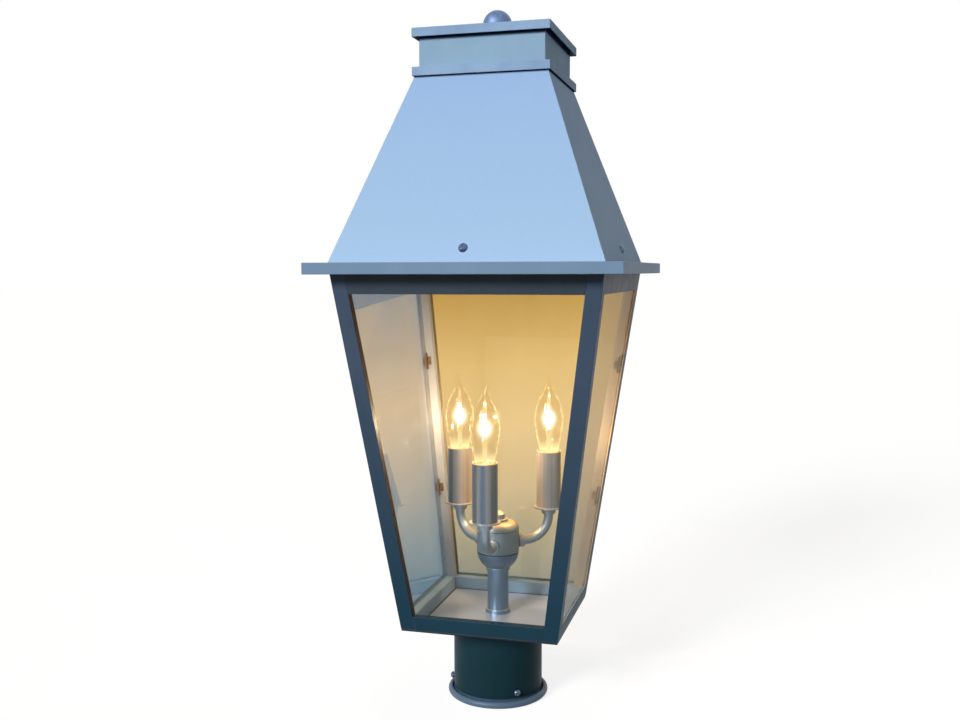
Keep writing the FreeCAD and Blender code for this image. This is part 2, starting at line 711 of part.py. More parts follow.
def roof_screws(doc, s):
    """Four slotted screws, square to the roof panels."""
    level = s.brim_top + s.roof_screw_height
    screws = []
    for i, side in enumerate(SIDES):
        body = slotted_screw(doc, f"roof_screw_{side}", s.roof_screw_head, s.roof_screw_dome, as_size(0.0),
                             s.roof_screw_shank, s.roof_sheet + s.press_nut_sheet, s)
        lay_out(body, QUARTER_TURN * i, s.roof_tilt, roof_half(s, level), level, roll=s.roof_slot_turn)
        screws.append(body)
    return screws


# ---------------------------------------------------------------- neck, chimney and cap

def neck_ring(doc, s):
    """Square ring that closes the top of the roof round the chimney."""
    body = new_body(doc, "neck_ring")
    level_prism(body, "ring", s.roof_top, s.roof_top + s.neck_height,
                square(s.neck_half), square(s.chimney_half))
    return body


def chimney(doc, s):
    """Square tube with a vent notch in the top of each side."""
    body = new_body(doc, "chimney")
    level_prism(body, "tube", s.roof_top - s.chimney_dip, s.chimney_top,
                square(s.chimney_half), square(s.chimney_half - s.roof_sheet))
    sketch = new_sketch(body, "XZ_Plane", "vent", (0.0, 0.0, s.chimney_half))
    half = s.vent_width / 2.0
    add_outline(sketch, rectangle(-half, s.chimney_top - s.vent_height, half, s.chimney_top))
    notch = extruded(body, "Pocket", sketch, s.roof_sheet * 2.0)
    repeated(body, [notch], len(SIDES))
    return body


def chimney_cap(doc, s):
    """Square lid on the chimney with a turned down skirt and a hole for the stud."""
    body = new_body(doc, "chimney_cap")
    sketch = new_sketch(body, "XY_Plane", "plate", (0.0, 0.0, s.chimney_top))
    add_outline(sketch, square(s.cap_half))
    add_circle(sketch, s.stud_radius + s.stud_gap)
    extruded(body, "Pad", sketch, s.roof_sheet)
    level_prism(body, "skirt", s.chimney_top - s.cap_skirt, s.chimney_top,
                square(s.cap_half), square(s.cap_half - s.roof_sheet))
    return body


def chimney_bridge(doc, s):
    """Strap across the chimney with turned up ends; the stud of the ball screws into it."""
    body = new_body(doc, "chimney_bridge")
    end = s.chimney_half - s.roof_sheet
    low = s.bridge_top - s.bridge_sheet
    tab = s.bridge_top + s.bridge_tab
    sketch = new_sketch(body, "XZ_Plane", "strap", (0.0, 0.0, -s.bridge_half_width))
    add_outline(sketch, [(-end, low), (end, low), (end, tab), (end - s.bridge_sheet, tab),
                         (end - s.bridge_sheet, s.bridge_top), (s.bridge_sheet - end, s.bridge_top),
                         (s.bridge_sheet - end, tab), (-end, tab)])
    extruded(body, "Pad", sketch, s.bridge_half_width * 2.0)
    sketch = new_sketch(body, "XY_Plane", "hole", (0.0, 0.0, s.bridge_top))
    add_circle(sketch, s.stud_radius + s.stud_gap)
    extruded(body, "Pocket", sketch, s.bridge_sheet)
    return body


def ball_finial(doc, s):
    """Ball seated flat on the cap, turned in one piece with its stud."""
    body = new_body(doc, "ball_finial")
    centre = s.cap_top + s.ball_rise
    seat = root(s.ball_radius * s.ball_radius - s.ball_rise * s.ball_rise)
    stud_low = s.bridge_top - s.bridge_sheet - s.stud_tail
    turned(body, "ball", [
        (0.0, stud_low),
        (s.stud_radius, stud_low),
        (s.stud_radius, s.cap_top),
        (seat, s.cap_top, Bow(s.ball_radius, (0.0, centre))),
        (0.0, centre + s.ball_radius),
    ])
    return body


# ---------------------------------------------------------------- centre of the candle cluster

def center_nipple(doc, s):
    """Threaded tube that clamps the cluster to the base plate and carries the wires."""
    body = new_body(doc, "center_nipple")
    low = s.fitter_height - s.nipple_tail
    high = s.dome_top + s.finial_washer_height + s.knob_height - s.knob_wall
    turned(body, "tube", rectangle(s.nipple_bore, low, s.nipple_radius, high))
    return body


def nipple_locknut(doc, s):
    """Hexagon nut on the nipple, under the base plate."""
    body = new_body(doc, "nipple_locknut")
    sketch = new_sketch(body, "XY_Plane", "nut", (0.0, 0.0, s.fitter_height - s.locknut_sheet))
    add_outline(sketch, regular_outline(s.locknut_radius, 6))
    add_circle(sketch, s.nipple_radius + s.nipple_gap)
    extruded(body, "Pad", sketch, s.locknut_sheet)
    return body


def stem_tube(doc, s):
    """Turned stem with a ring at its foot and one under the bowl."""
    body = new_body(doc, "stem_tube")
    foot = s.floor + s.stem_foot_height
    collar = s.stem_top - s.stem_collar_height
    bore = s.nipple_radius + s.nipple_gap
    turned(body, "stem", [
        (bore, s.floor), (s.stem_foot, s.floor), (s.stem_foot, foot), (s.stem_radius, foot),
        (s.stem_radius, collar), (s.stem_collar, collar), (s.stem_collar, s.stem_top), (bore, s.stem_top),
    ])
    return body


def bow_centre(start, finish, radius, side):
    """Centre of an arc of a radius between two corners; side is +1 left of the way or -1 right."""
    start = [as_size(part) for part in start]
    run_x, run_y = as_size(finish[0]) - start[0], as_size(finish[1]) - start[1]
    span = root(run_x * run_x + run_y * run_y)
    height = root(radius * radius - span * span / 4.0) * side
    middle = (start[0] + run_x / 2.0, start[1] + run_y / 2.0)
    return (middle[0] - height * run_y / span, middle[1] + height * run_x / span)


def bow_between(start, finish, radius, counter_clockwise=True):
    """The lesser arc of a radius from one corner to the next."""
    side = 1.0 if counter_clockwise else -1.0
    return Bow(radius, bow_centre(start, finish, radius, side), counter_clockwise)


def hub_bowl(doc, s):
    """Spun bowl between the stem and the band of the hub."""
    body = new_body(doc, "hub_bowl")
    bore = s.nipple_radius + s.nipple_gap
    inside = s.hub_radius - s.hub_wall
    foot = (s.stem_collar, s.stem_top)
    rim = (s.hub_radius, s.hub_low)
    inner_rim = (inside, s.hub_low)
    inner_foot = (s.stem_collar - s.hub_wall, s.stem_top + s.hub_wall)
    turned(body, "bowl", [
        (bore, s.stem_top),
        (*foot, bow_between(foot, rim, s.bowl_curve)),
        rim,
        (*inner_rim, bow_between(inner_rim, inner_foot, s.bowl_curve, counter_clockwise=False)),
        inner_foot,
        (bore, s.stem_top + s.hub_wall),
    ])
    return body


def hub_body(doc, s):
    """Band of the hub, stepped at both ends, with three holes for the arms."""
    body = new_body(doc, "hub_body")
    inside = s.hub_radius - s.hub_wall
    stepped = s.hub_radius - s.hub_seam
    turned(body, "band", [
        (inside, s.hub_low),
        (stepped, s.hub_low),
        (stepped, s.hub_low + s.hub_seam),
        (s.hub_radius, s.hub_low + s.hub_seam),
        (s.hub_radius, s.hub_top - s.hub_seam),
        (stepped, s.hub_top - s.hub_seam),
        (stepped, s.hub_top),
        (inside, s.hub_top),
    ])
    sketch = new_sketch(body, "YZ_Plane", "hole")
    add_circle(sketch, s.arm_radius + s.arm_gap, 0.0, s.arm_axis)
    hole = extruded(body, "Pocket", sketch, s.hub_radius * 2.0, backward=True)
    repeated(body, [hole], len(ARMS))
    place(body, turn=s.cluster_turn - QUARTER_TURN)
    return body


def hub_cap(doc, s):
    """Round shouldered cap that closes the hub, level round its hole."""
    body = new_body(doc, "hub_cap")
    bore = s.nipple_radius + s.nipple_gap
    shoulder = s.hub_radius - s.dome_height
    centre = (shoulder, s.hub_top)
    underside = s.dome_top - s.hub_wall
    turned(body, "dome", [
        (s.hub_radius, s.hub_top, Bow(s.dome_height, centre)),
        (shoulder, s.dome_top),
        (bore, s.dome_top),
        (bore, underside),
        (shoulder, underside, Bow(s.dome_height - s.hub_wall, centre, counter_clockwise=False)),
        (s.hub_radius - s.hub_wall, s.hub_top),
    ])
    return body


def hub_finial(doc, s):
    """Knob with a washer, screwed on the end of the nipple."""
    body = new_body(doc, "hub_finial")
    bore = s.nipple_radius + s.nipple_gap
    washer_top = s.dome_top + s.finial_washer_height
    knob_top = washer_top + s.knob_height
    socket_end = knob_top - s.knob_wall + s.nipple_gap
    dome_radius = crown_radius(s.knob_radius, s.knob_crown)
    turned(body, "knob", [
        (0.0, socket_end),
        (bore, socket_end),
        (bore, s.dome_top),
        (s.finial_washer, s.dome_top),
        (s.finial_washer, washer_top),
        (s.knob_radius, washer_top),
        (s.knob_radius, knob_top - s.knob_crown, Bow(dome_radius, (0.0, knob_top - dome_radius))),
        (0.0, knob_top),
    ])
    return body


# ---------------------------------------------------------------- arms and candles

def arms(doc, s):
    """Three tubes that leave the hub level and bend upwards under the candles."""
    made = []
    inner_end = s.hub_radius - s.arm_tail
    bend_start = s.arm_reach - s.arm_bend
    bend_top = s.arm_axis + s.arm_bend
    for i, name in enumerate(ARMS):
        body = new_body(doc, f"arm_{name}")
        path = new_sketch(body, "XZ_Plane", "path")
        add_outline(path, [
            (inner_end, s.arm_axis),
            (bend_start, s.arm_axis, Bow(s.arm_bend, (bend_start, bend_top))),
            (s.arm_reach, bend_top),
            (s.arm_reach, s.arm_end),
        ], closed=False)
        section = new_sketch(body, "YZ_Plane", "section", (0.0, 0.0, inner_end))
        add_circle(section, s.arm_radius, 0.0, s.arm_axis)
        add_circle(section, s.arm_bore, 0.0, s.arm_axis)
        tube = body.newObject("PartDesign::AdditivePipe", f"{body.Name}_tube")
        tube.Profile = section
        tube.Spine = (path, ["Edge1", "Edge2", "Edge3"])
        place(body, turn=s.cluster_turn - QUARTER_TURN + THIRD_TURN * i)
        made.append(body)
    return made


def ring_on_arms(doc, s, label, start, length, draw_outside):
    """A ring round each arm, square to it, between two distances from the centre."""
    body = new_body(doc, label)
    sketch = new_sketch(body, "YZ_Plane", "ring", (0.0, s.arm_axis, start))
    draw_outside(sketch)
    add_circle(sketch, s.arm_radius + s.arm_gap)
    ring = extruded(body, "Pad", sketch, length)
    repeated(body, [ring], len(ARMS))
    place(body, turn=s.cluster_turn - QUARTER_TURN)
    return body


def arm_collars(doc, s):
    """Round collars outside the hub."""
    start = s.hub_radius + s.arm_gap
    return ring_on_arms(doc, s, "arm_collars", start, s.arm_collar_length,
                        lambda sketch: add_circle(sketch, s.arm_collar_radius))


def arm_locknuts(doc, s):
    """Hexagon nuts inside the hub, up against its band."""
    inside = s.hub_radius - s.hub_wall
    face = root(inside * inside - s.arm_nut_radius * s.arm_nut_radius)
    return ring_on_arms(doc, s, "arm_locknuts", face - s.arm_nut_sheet - s.arm_gap, s.arm_nut_sheet,
                        lambda sketch: add_outline(sketch, regular_outline(s.arm_nut_radius, 6)))


def candle_pieces(doc, s, label, outline):
    """The same turned piece at the end of each arm, all in one node."""
    body = new_body(doc, label)
    piece = turned(body, "piece", outline, offset=s.arm_reach)
    repeated(body, [piece], len(ARMS))
    place(body, turn=s.cluster_turn - QUARTER_TURN)
    return body


def candle_cups(doc, s):
    """Stepped cups on the arms, each widening into a drip pan."""
    bore = s.arm_radius + s.arm_gap
    low = s.arm_end - s.cup_height
    step = low + s.cup_step
    return candle_pieces(doc, s, "candle_cups", [
        (bore, low),
        (s.cup_foot, low),
        (s.cup_foot, step),
        (s.cup_radius, step),
        (s.cup_radius, s.arm_end),
        (s.pan_radius, s.arm_end + s.pan_rise),
        (s.pan_radius, s.pan_top),
        (s.sleeve_radius, s.pan_top),
        (s.socket_leg, s.pan_top),
        (bore, s.pan_top),
    ])


def candle_sleeves(doc, s):
    """Straight tubes that stand on the drip pans."""
    made = []
    inside = s.sleeve_radius - s.sleeve_wall
    for i, name in enumerate(ARMS):
        body = new_body(doc, f"candle_sleeve_{name}")
        turned(body, "tube", rectangle(inside, s.pan_top, s.sleeve_radius, s.sleeve_top), offset=s.arm_reach)
        place(body, turn=s.cluster_turn - QUARTER_TURN + THIRD_TURN * i)
        made.append(body)
    return made


def candle_sockets(doc, s):
    """Lamp sockets inside the sleeves, each on a leg."""
    bore = s.cap_radius + s.cap_gap
    floor = s.socket_low + s.socket_floor
    return candle_pieces(doc, s, "candle_sockets", [
        (0.0, s.pan_top),
        (s.socket_leg, s.pan_top),
        (s.socket_leg, s.socket_low),
        (s.socket_radius, s.socket_low),
        (s.socket_radius, s.socket_top),
        (bore, s.socket_top),
        (bore, floor),
        (0.0, floor),
    ])


# ---------------------------------------------------------------- lamps

def lamp_part(doc, s, label, arm, build):
    """One piece of the lamp on an arm, built round the lamp's own upright axis."""
    body = new_body(doc, f"{label}_{ARMS[arm]}")
    build(body, s)
    turn = s.cluster_turn + THIRD_TURN * arm
    place(body, turn=turn - QUARTER_TURN, x=s.arm_reach * sine(turn), y=-(s.arm_reach * cosine(turn)))
    return body


def lamp_cap(body, s):
    """Metal cap of a lamp: a cup round the neck of the glass, with a contact below."""
    contact = s.lamp_cap_low - s.contact_height
    turned(body, "cap", [
        (0.0, contact),
        (s.contact_radius, contact),
        (s.contact_radius, s.lamp_cap_low),
        (s.cap_radius, s.lamp_cap_low),
        (s.cap_radius, s.lamp_cap_top),
        (s.lamp_neck, s.lamp_cap_top),
        (s.lamp_neck, s.lamp_cap_top - s.cap_radius),
        (0.0, s.lamp_cap_top - s.cap_radius),
    ])


def glass_profile(s, inset):
    """Corners of the lamp's glass from its neck to its tip, set in by a wall, without the arcs."""
    return [
        (s.lamp_neck - inset, s.lamp_cap_top + s.cap_gap),
        (s.lamp_radius - inset, s.sleeve_top + s.lamp_belly),
        (s.lamp_shoulder_radius - inset, s.sleeve_top + s.lamp_shoulder),
        (s.lamp_throat_radius - inset, s.sleeve_top + s.lamp_throat),
        (s.lamp_tip - inset, s.lamp_top - s.lamp_tip - inset),
    ]


def belly_curve(s, corner):
    """Radius of the arc from a corner that meets the widest point of the glass upright."""
    belly = glass_profile(s, 0.0)[1]
    depth = belly[0] - corner[0]
    height = belly[1] - corner[1]
    return (depth * depth + height * height) / (depth * 2.0)


def lamp_glass(body, s):
    """Candle shaped glass with a drawn out tip, open at the neck."""
    neck = s.lamp_cap_top - s.cap_radius
    waist, belly, shoulder, throat, tip = glass_profile(s, 0.0)
    rising, falling = belly_curve(s, waist), belly_curve(s, shoulder)
    in_waist, in_belly, in_shoulder, in_throat, in_tip = glass_profile(s, s.lamp_glass)
    turned(body, "glass", [
        (in_waist[0], neck),
        (waist[0], neck),
        (*waist, bow_between(waist, belly, rising)),
        (*belly, bow_between(belly, shoulder, falling)),
        shoulder,
        (*throat, bow_between(throat, tip, s.throat_curve, counter_clockwise=False)),
        (*tip, Bow(s.lamp_tip, (0.0, tip[1]))),
        (0.0, s.lamp_top),
        (0.0, in_tip[1]),
        (*in_tip, bow_between(in_tip, in_throat, s.throat_curve)),
        in_throat,
        (*in_shoulder, bow_between(in_shoulder, in_belly, falling, counter_clockwise=False)),
        (*in_belly, bow_between(in_belly, in_waist, rising, counter_clockwise=False)),
        in_waist,
    ])


def lamp_filament(body, s):
    """Glass mount on the neck's floor with the hairpin filament above it."""
    low = s.lamp_cap_top - s.cap_radius
    mount_top = s.sleeve_top + s.mount_height
    turned(body, "mount", rectangle(0.0, low, s.mount_radius, mount_top))
    path = new_sketch(body, "XZ_Plane", "path")
    spread = s.wire_spread
    bend = s.sleeve_top + s.wire_height - spread
    foot = mount_top - s.mount_radius
    bow = Bow(spread, (0.0, bend), counter_clockwise=False)
    add_outline(path, [(-spread, foot), (-spread, bend, bow), (0.0, bend + spread, bow),
                       (spread, bend), (spread, foot)], closed=False)
    section = new_sketch(body, "XY_Plane", "section", (0.0, 0.0, foot))
    add_circle(section, s.wire_radius, -spread)
    wire = body.newObject("PartDesign::AdditivePipe", f"{body.Name}_wire")
    wire.Profile = section
    wire.Spine = (path, ["Edge1", "Edge2", "Edge3", "Edge4"])


def lamps(doc, s):
    """Three lamps, each a metal cap, a glass and a filament on its mount."""
    made = []
    for arm in range(len(ARMS)):
        for label, build in (("bulb_base", lamp_cap), ("bulb_glass", lamp_glass),
                             ("bulb_filament", lamp_filament)):
            made.append(lamp_part(doc, s, label, arm, build))
    return made


# ---------------------------------------------------------------- whole lantern

MAKERS = (post_fitter, set_screws, base_plate, corner_posts, bottom_rails, top_rails, glass_panes,
          glass_clips, roof_brim, roof_shell, roof_nuts, roof_screws, neck_ring, chimney, chimney_cap,
          chimney_bridge, ball_finial, center_nipple, nipple_locknut, stem_tube, hub_bowl, hub_body,
          hub_cap, hub_finial, arms, arm_collars, arm_locknuts, candle_cups, candle_sleeves,
          candle_sockets, lamps)


def check_document(doc, parts):
    """Stop if an object failed or a sub-part has no sound shape."""
    for item in doc.Objects:
        if "Invalid" in item.State or "Error" in item.State:
            raise RuntimeError(f"{item.Label} failed: {item.State}")
    for part in parts:
        if part.Shape.isNull() or not part.Shape.isValid() or not part.Shape.Solids:
            raise RuntimeError(f"{part.Label} has no sound solid")


def main():
    doc = FreeCAD.newDocument("PostTopLantern")
    sizes = make_sheet(doc)
    work_out_levels(sizes)
    parts = []
    for maker in MAKERS:
        made = maker(doc, sizes)
        parts.extend(made if isinstance(made, list) else [made])
    doc.recompute()
    check_document(doc, parts)
    os.makedirs("parts", exist_ok=True)
    for part in parts:
        part.Shape.exportStep(f"parts/{part.Label}.step")
        print(f"{part.Label}: {len(part.Shape.Solids)} solid(s), {part.Shape.Volume:.1f} mm3")


main()
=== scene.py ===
"""Looks of the post top lantern: paint, glass, three lit candle lamps, the studio and the camera.

Metres, +Z up.  The lantern faces -Y, its right side is +X and it stands on z = 0.
"""

import logging
import math
from dataclasses import dataclass, field, replace
from enum import Enum
from functools import cache

import bpy
from bpy.types import Camera, Light, Material, Mesh, NodeSocket, Object, ShaderNode, World
from mathutils import Matrix, Vector


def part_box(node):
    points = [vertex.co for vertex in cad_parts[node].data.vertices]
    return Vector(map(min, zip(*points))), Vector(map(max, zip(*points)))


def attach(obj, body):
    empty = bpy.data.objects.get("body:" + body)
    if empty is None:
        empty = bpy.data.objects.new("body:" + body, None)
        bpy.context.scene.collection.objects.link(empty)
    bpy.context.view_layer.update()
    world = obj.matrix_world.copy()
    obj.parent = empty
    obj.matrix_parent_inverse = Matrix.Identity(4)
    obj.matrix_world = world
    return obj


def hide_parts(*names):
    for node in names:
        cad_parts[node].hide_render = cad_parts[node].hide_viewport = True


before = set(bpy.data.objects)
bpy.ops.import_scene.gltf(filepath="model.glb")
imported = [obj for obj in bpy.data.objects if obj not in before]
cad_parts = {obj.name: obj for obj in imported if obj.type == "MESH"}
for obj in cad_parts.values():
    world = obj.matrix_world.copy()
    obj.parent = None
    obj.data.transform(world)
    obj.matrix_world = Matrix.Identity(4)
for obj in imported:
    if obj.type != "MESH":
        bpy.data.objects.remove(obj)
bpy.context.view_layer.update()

log = logging.getLogger("lantern")

Colour = tuple[float, float, float, float]
Point = tuple[float, float, float]
Pair = tuple[float, float]
SIDES = ("front", "right", "back", "left")
MM = 0.001
EVEN = (1.0, 1.0, 1.0)
WHITE = (1.0, 1.0, 1.0, 1.0)

# Cosines between which a mask for the way a face looks goes from 0 to 1.
INWARD = (-0.1, -0.3)
DOWNWARD = (-0.6, -0.8)
UPWARD = (0.3, 0.95)

# Cosines between the rounded and the flat way a surface looks, where an edge starts and where it is full.
EDGE_TURN = (0.995, 0.88)
EDGE_SAMPLES = 6

# How much of a noise is in its finer layers.
NOISE_FINENESS = 0.55

# How quickly the mirror of thin glass gains towards a glance.
GLANCE_POWER = 5.0


def tone(red: int, green: int, blue: int) -> Colour:
    """Turn a colour as a screen shows it into the linear colour that shaders take.

    Args:
        red: Red from 0 to 255.
        green: Green from 0 to 255.
        blue: Blue from 0 to 255.

    Returns:
        The linear colour with full alpha.
    """
    def linear(value: int) -> float:
        """Undo the screen's curve for one channel."""
        share = value / 255.0
        return share / 12.92 if share <= 0.04045 else ((share + 0.055) / 1.055) ** 2.4
    return (linear(red), linear(green), linear(blue), 1.0)


def doubled(colour: Colour) -> Colour:
    """Colour of twice the light."""
    return tuple(min(1.0, part * 2.0) for part in colour[:3]) + (1.0,)


def surface_share(colour: Colour) -> Colour:
    """Tint of one face of a pane whose two faces together give a colour."""
    return tuple(math.sqrt(part) for part in colour[:3]) + (1.0,)


# ---------------------------------------------------------------- node trees

class Sum(Enum):
    """What a Math node does with its values."""

    PLUS = "ADD"
    MINUS = "SUBTRACT"
    TIMES = "MULTIPLY"
    POWER = "POWER"
    LARGER = "MAXIMUM"
    ABOVE = "GREATER_THAN"
    SIZE = "ABSOLUTE"


class Blend(Enum):
    """How two colours blend."""

    MIX = "MIX"
    MULTIPLY = "MULTIPLY"


class Recipe:
    """The node tree of a material or of the world, built node by node."""

    def __init__(self, owner: Material | World) -> None:
        """Start with an empty tree.

        Args:
            owner: The material or the world.
        """
        self.owner = owner
        self.owner.use_nodes = True
        self.tree = owner.node_tree
        self.tree.nodes.clear()

    def add(self, kind: str, inputs: dict | None = None, **settings: object) -> ShaderNode:
        """Add a node, set its inputs and link those that are given as sockets.

        Args:
            kind: The node's type, without its ShaderNode prefix.
            inputs: Values or sockets by input name or number.
            settings: Attributes of the node itself.

        Returns:
            The new node.
        """
        node = self.tree.nodes.new(f"ShaderNode{kind}")
        for name, value in settings.items():
            setattr(node, name, value)
        for key, value in (inputs or {}).items():
            if isinstance(value, NodeSocket):
                self.tree.links.new(value, node.inputs[key])
            else:
                node.inputs[key].default_value = value
        return node

    def place(self, stretch: Point = EVEN) -> NodeSocket:
        """Give the place on the piece, in metres, stretched along its axes."""
        coordinates = self.add("TexCoord").outputs["Object"]
        return self.add("Mapping", {"Vector": coordinates, "Scale": stretch}).outputs["Vector"]

    def height(self) -> NodeSocket:
        """Give the height above the mouth of the fitter, in metres."""
        return self.add("SeparateXYZ", {0: self.place()}).outputs["Z"]

    def height_from(self, level: float) -> NodeSocket:
        """Give how far a place is above or below a level."""
        return self.work_out(Sum.SIZE, self.work_out(Sum.MINUS, self.height(), level))

    def normal(self) -> NodeSocket:
        """Give the way that the surface looks."""
        return self.add("NewGeometry").outputs["Normal"]

    def cosine(self, first: NodeSocket, second: NodeSocket) -> NodeSocket:
        """Give the cosine between two directions."""
        return self.add("VectorMath", {0: first, 1: second}, operation="DOT_PRODUCT").outputs["Value"]

    def noise(self, scale: float, detail: float = 2.0, stretch: Point = EVEN) -> NodeSocket:
        """Give an even noise from 0 to 1.

        Args:
            scale: Cells in a metre.
            detail: How many finer layers it has.
            stretch: Scale along each axis.

        Returns:
            The noise's value.
        """
        inputs = {"Vector": self.place(stretch), "Scale": scale, "Detail": detail,
                  "Roughness": NOISE_FINENESS}
        return self.add("TexNoise", inputs).outputs["Fac"]

    def work_out(self, way: Sum, first: NodeSocket | float, second: NodeSocket | float = 0.0) -> NodeSocket:
        """Combine two values, or take the size of the first."""
        return self.add("Math", {0: first, 1: second}, operation=way.value).outputs[0]

    def times(self, first: NodeSocket | float, second: NodeSocket | float) -> NodeSocket:
        """Multiply two values."""
        return self.work_out(Sum.TIMES, first, second)

    def power(self, value: NodeSocket | float, exponent: float) -> NodeSocket:
        """Raise a value to a power."""
        return self.work_out(Sum.POWER, value, exponent)

    def level(self, value: NodeSocket, low: float, high: float, at_low: float, at_high: float) -> NodeSocket:
        """Map a value from one range to another and hold it inside.

        Args:
            value: The value to map.
            low: Where the range starts.
            high: Where the range ends.
            at_low: Result at the start.
            at_high: Result at the end.

        Returns:
            The mapped value.
        """
        inputs = {"Value": value, "From Min": low, "From Max": high, "To Min": at_low, "To Max": at_high}
        return self.add("MapRange", inputs).outputs["Result"]

    def spread(self, noise: NodeSocket, at_low: float, at_high: float, reach: float = 0.2) -> NodeSocket:
        """Map the middle of a noise, as far as it reaches from one half, to a range."""
        return self.level(noise, 0.5 - reach, 0.5 + reach, at_low, at_high)

    def ramp(self, value: NodeSocket, stops: list[tuple[float, Colour]]) -> NodeSocket:
        """Give a colour that changes with a value.

        Args:
            value: The value, 0 to 1.
            stops: Places and colours, in order.

        Returns:
            The colour.
        """
        node = self.add("ValToRGB", {"Fac": value})
        elements = node.color_ramp.elements
        while len(elements) < len(stops):
            elements.new(1.0)
        for element, (position, colour) in zip(elements, stops):
            element.position = position
            element.color = colour
        return node.outputs["Color"]

    def blend(self, share: NodeSocket | float, first: NodeSocket | Colour, second: NodeSocket | Colour,
              way: Blend = Blend.MIX) -> NodeSocket:
        """Blend two colours.

        Args:
            share: Share of the second colour.
            first: The first colour.
            second: The second colour.
            way: How they blend.

        Returns:
            The blended colour.
        """
        inputs = {0: share, 6: first, 7: second}
        return self.add("Mix", inputs, data_type="RGBA", blend_type=way.value).outputs[2]

    def shade(self, colour: NodeSocket, value: NodeSocket) -> NodeSocket:
        """Multiply a colour by a value."""
        grey = self.add("CombineColor", {i: value for i in range(3)}).outputs[0]
        return self.blend(1.0, colour, grey, Blend.MULTIPLY)

    def mixed(self, share: NodeSocket | float, first: NodeSocket, second: NodeSocket) -> NodeSocket:
        """Mix two shaders; the share is the second one's."""
        return self.add("MixShader", {0: share, 1: first, 2: second}).outputs[0]

    def together(self, first: NodeSocket, second: NodeSocket) -> NodeSocket:
        """Add two shaders."""
        return self.add("AddShader", {0: first, 1: second}).outputs[0]

    def glow(self, colour: NodeSocket | Colour, strength: NodeSocket | float) -> NodeSocket:
        """Give a shader that glows."""
        return self.add("Emission", {"Color": colour, "Strength": strength}).outputs[0]

    def bump(self, height: NodeSocket, distance: float, strength: float,
             normal: NodeSocket | None = None) -> NodeSocket:
        """Give the way a surface looks when it is raised and lowered a little.

        Args:
            height: How high each place is, 0 to 1.
            distance: The greatest height.
            strength: How much of it shows.
            normal: The way that the smooth surface looks, where it isn't the mesh's own.

        Returns:
            The normal.
        """
        inputs = {"Height": height, "Distance": distance, "Strength": strength}
        if normal is not None:
            inputs["Normal"] = normal
        return self.add("Bump", inputs).outputs["Normal"]

    def edges(self, radius: float) -> tuple[NodeSocket, NodeSocket]:
        """Round the shading of sharp edges.

        Args:
            radius: How far from an edge the rounding starts.

        Returns:
            The rounded normal, and a mask that is 1 along the edges.
        """
        rounded = self.add("Bevel", {"Radius": radius}, samples=EDGE_SAMPLES).outputs["Normal"]
        return rounded, self.level(self.cosine(rounded, self.normal()), *EDGE_TURN, 0.0, 1.0)

    def inside(self, start: float, full: float) -> NodeSocket:
        """Give 1 on faces that look towards the lantern's upright axis.

        Args:
            start: Cosine between face and outward direction where the mask leaves 0.
            full: Cosine where it reaches 1.

        Returns:
            The mask.
        """
        level_only = (1.0, 1.0, 0.0)
        outward = self.add("VectorMath", {0: self.place(level_only)}, operation="NORMALIZE").outputs[0]
        return self.level(self.cosine(outward, self.normal()), start, full, 0.0, 1.0)

    def upright(self, start: float, full: float) -> NodeSocket:
        """Give 1 on faces that look up or down.

        Args:
            start: Upward part of the normal where the mask leaves 0.
            full: Upward part where it reaches 1.

        Returns:
            The mask.
        """
        upward = self.add("SeparateXYZ", {0: self.normal()}).outputs["Z"]
        return self.level(upward, start, full, 0.0, 1.0)

    def beyond_square(self, half: float) -> NodeSocket:
        """Give 1 outside a square round the lantern's upright axis.

        Args:
            half: Half the side of the square.

        Returns:
            The mask.
        """
        parts = self.add("SeparateXYZ", {0: self.place()}).outputs
        sizes = [self.work_out(Sum.SIZE, parts[axis]) for axis in "XY"]
        return self.work_out(Sum.ABOVE, self.work_out(Sum.LARGER, *sizes), half)

    def seen_directly(self) -> NodeSocket:
        """Give 1 where the camera sees a place, also in a mirror or through glass.

        Returns:
            The mask.
        """
        path = self.add("LightPath").outputs
        by_way = self.work_out(Sum.LARGER, path["Is Glossy Ray"], path["Is Transmission Ray"])
        return self.work_out(Sum.LARGER, path["Is Camera Ray"], by_way)

    def glancing(self) -> NodeSocket:
        """Give 0 on faces seen head on and 1 at a glance."""
        return self.add("LayerWeight", {"Blend": 0.5}).outputs["Facing"]

    def mirror_share(self, least: float, most: float) -> NodeSocket:
        """Share of light that thin glass mirrors: little head on, more at a glance."""
        return self.level(self.power(self.glancing(), GLANCE_POWER), 0.0, 1.0, least, most)

    def finish(self, surface: NodeSocket, output: str = "OutputMaterial") -> Material | World:
        """Send a shader to the output and hand over the owner of the tree."""
        self.add(output, {"Surface": surface})
        return self.owner


# ---------------------------------------------------------------- finishes

@dataclass(frozen=True)
class Finish:
    """A finish, which becomes one material for all the pieces that have it."""

    name: str

    def surface(self, recipe: Recipe) -> NodeSocket:
        """Build the shader; each kind of finish has its own.

        Args:
            recipe: The node tree to build in.

        Returns:
            The shader.
        """
        raise NotImplementedError(self.name)

    @cache
    def material(self) -> Material:
        """Build the material when it is first asked for."""
        recipe = Recipe(bpy.data.materials.new(self.name))
        return recipe.finish(self.surface(recipe))


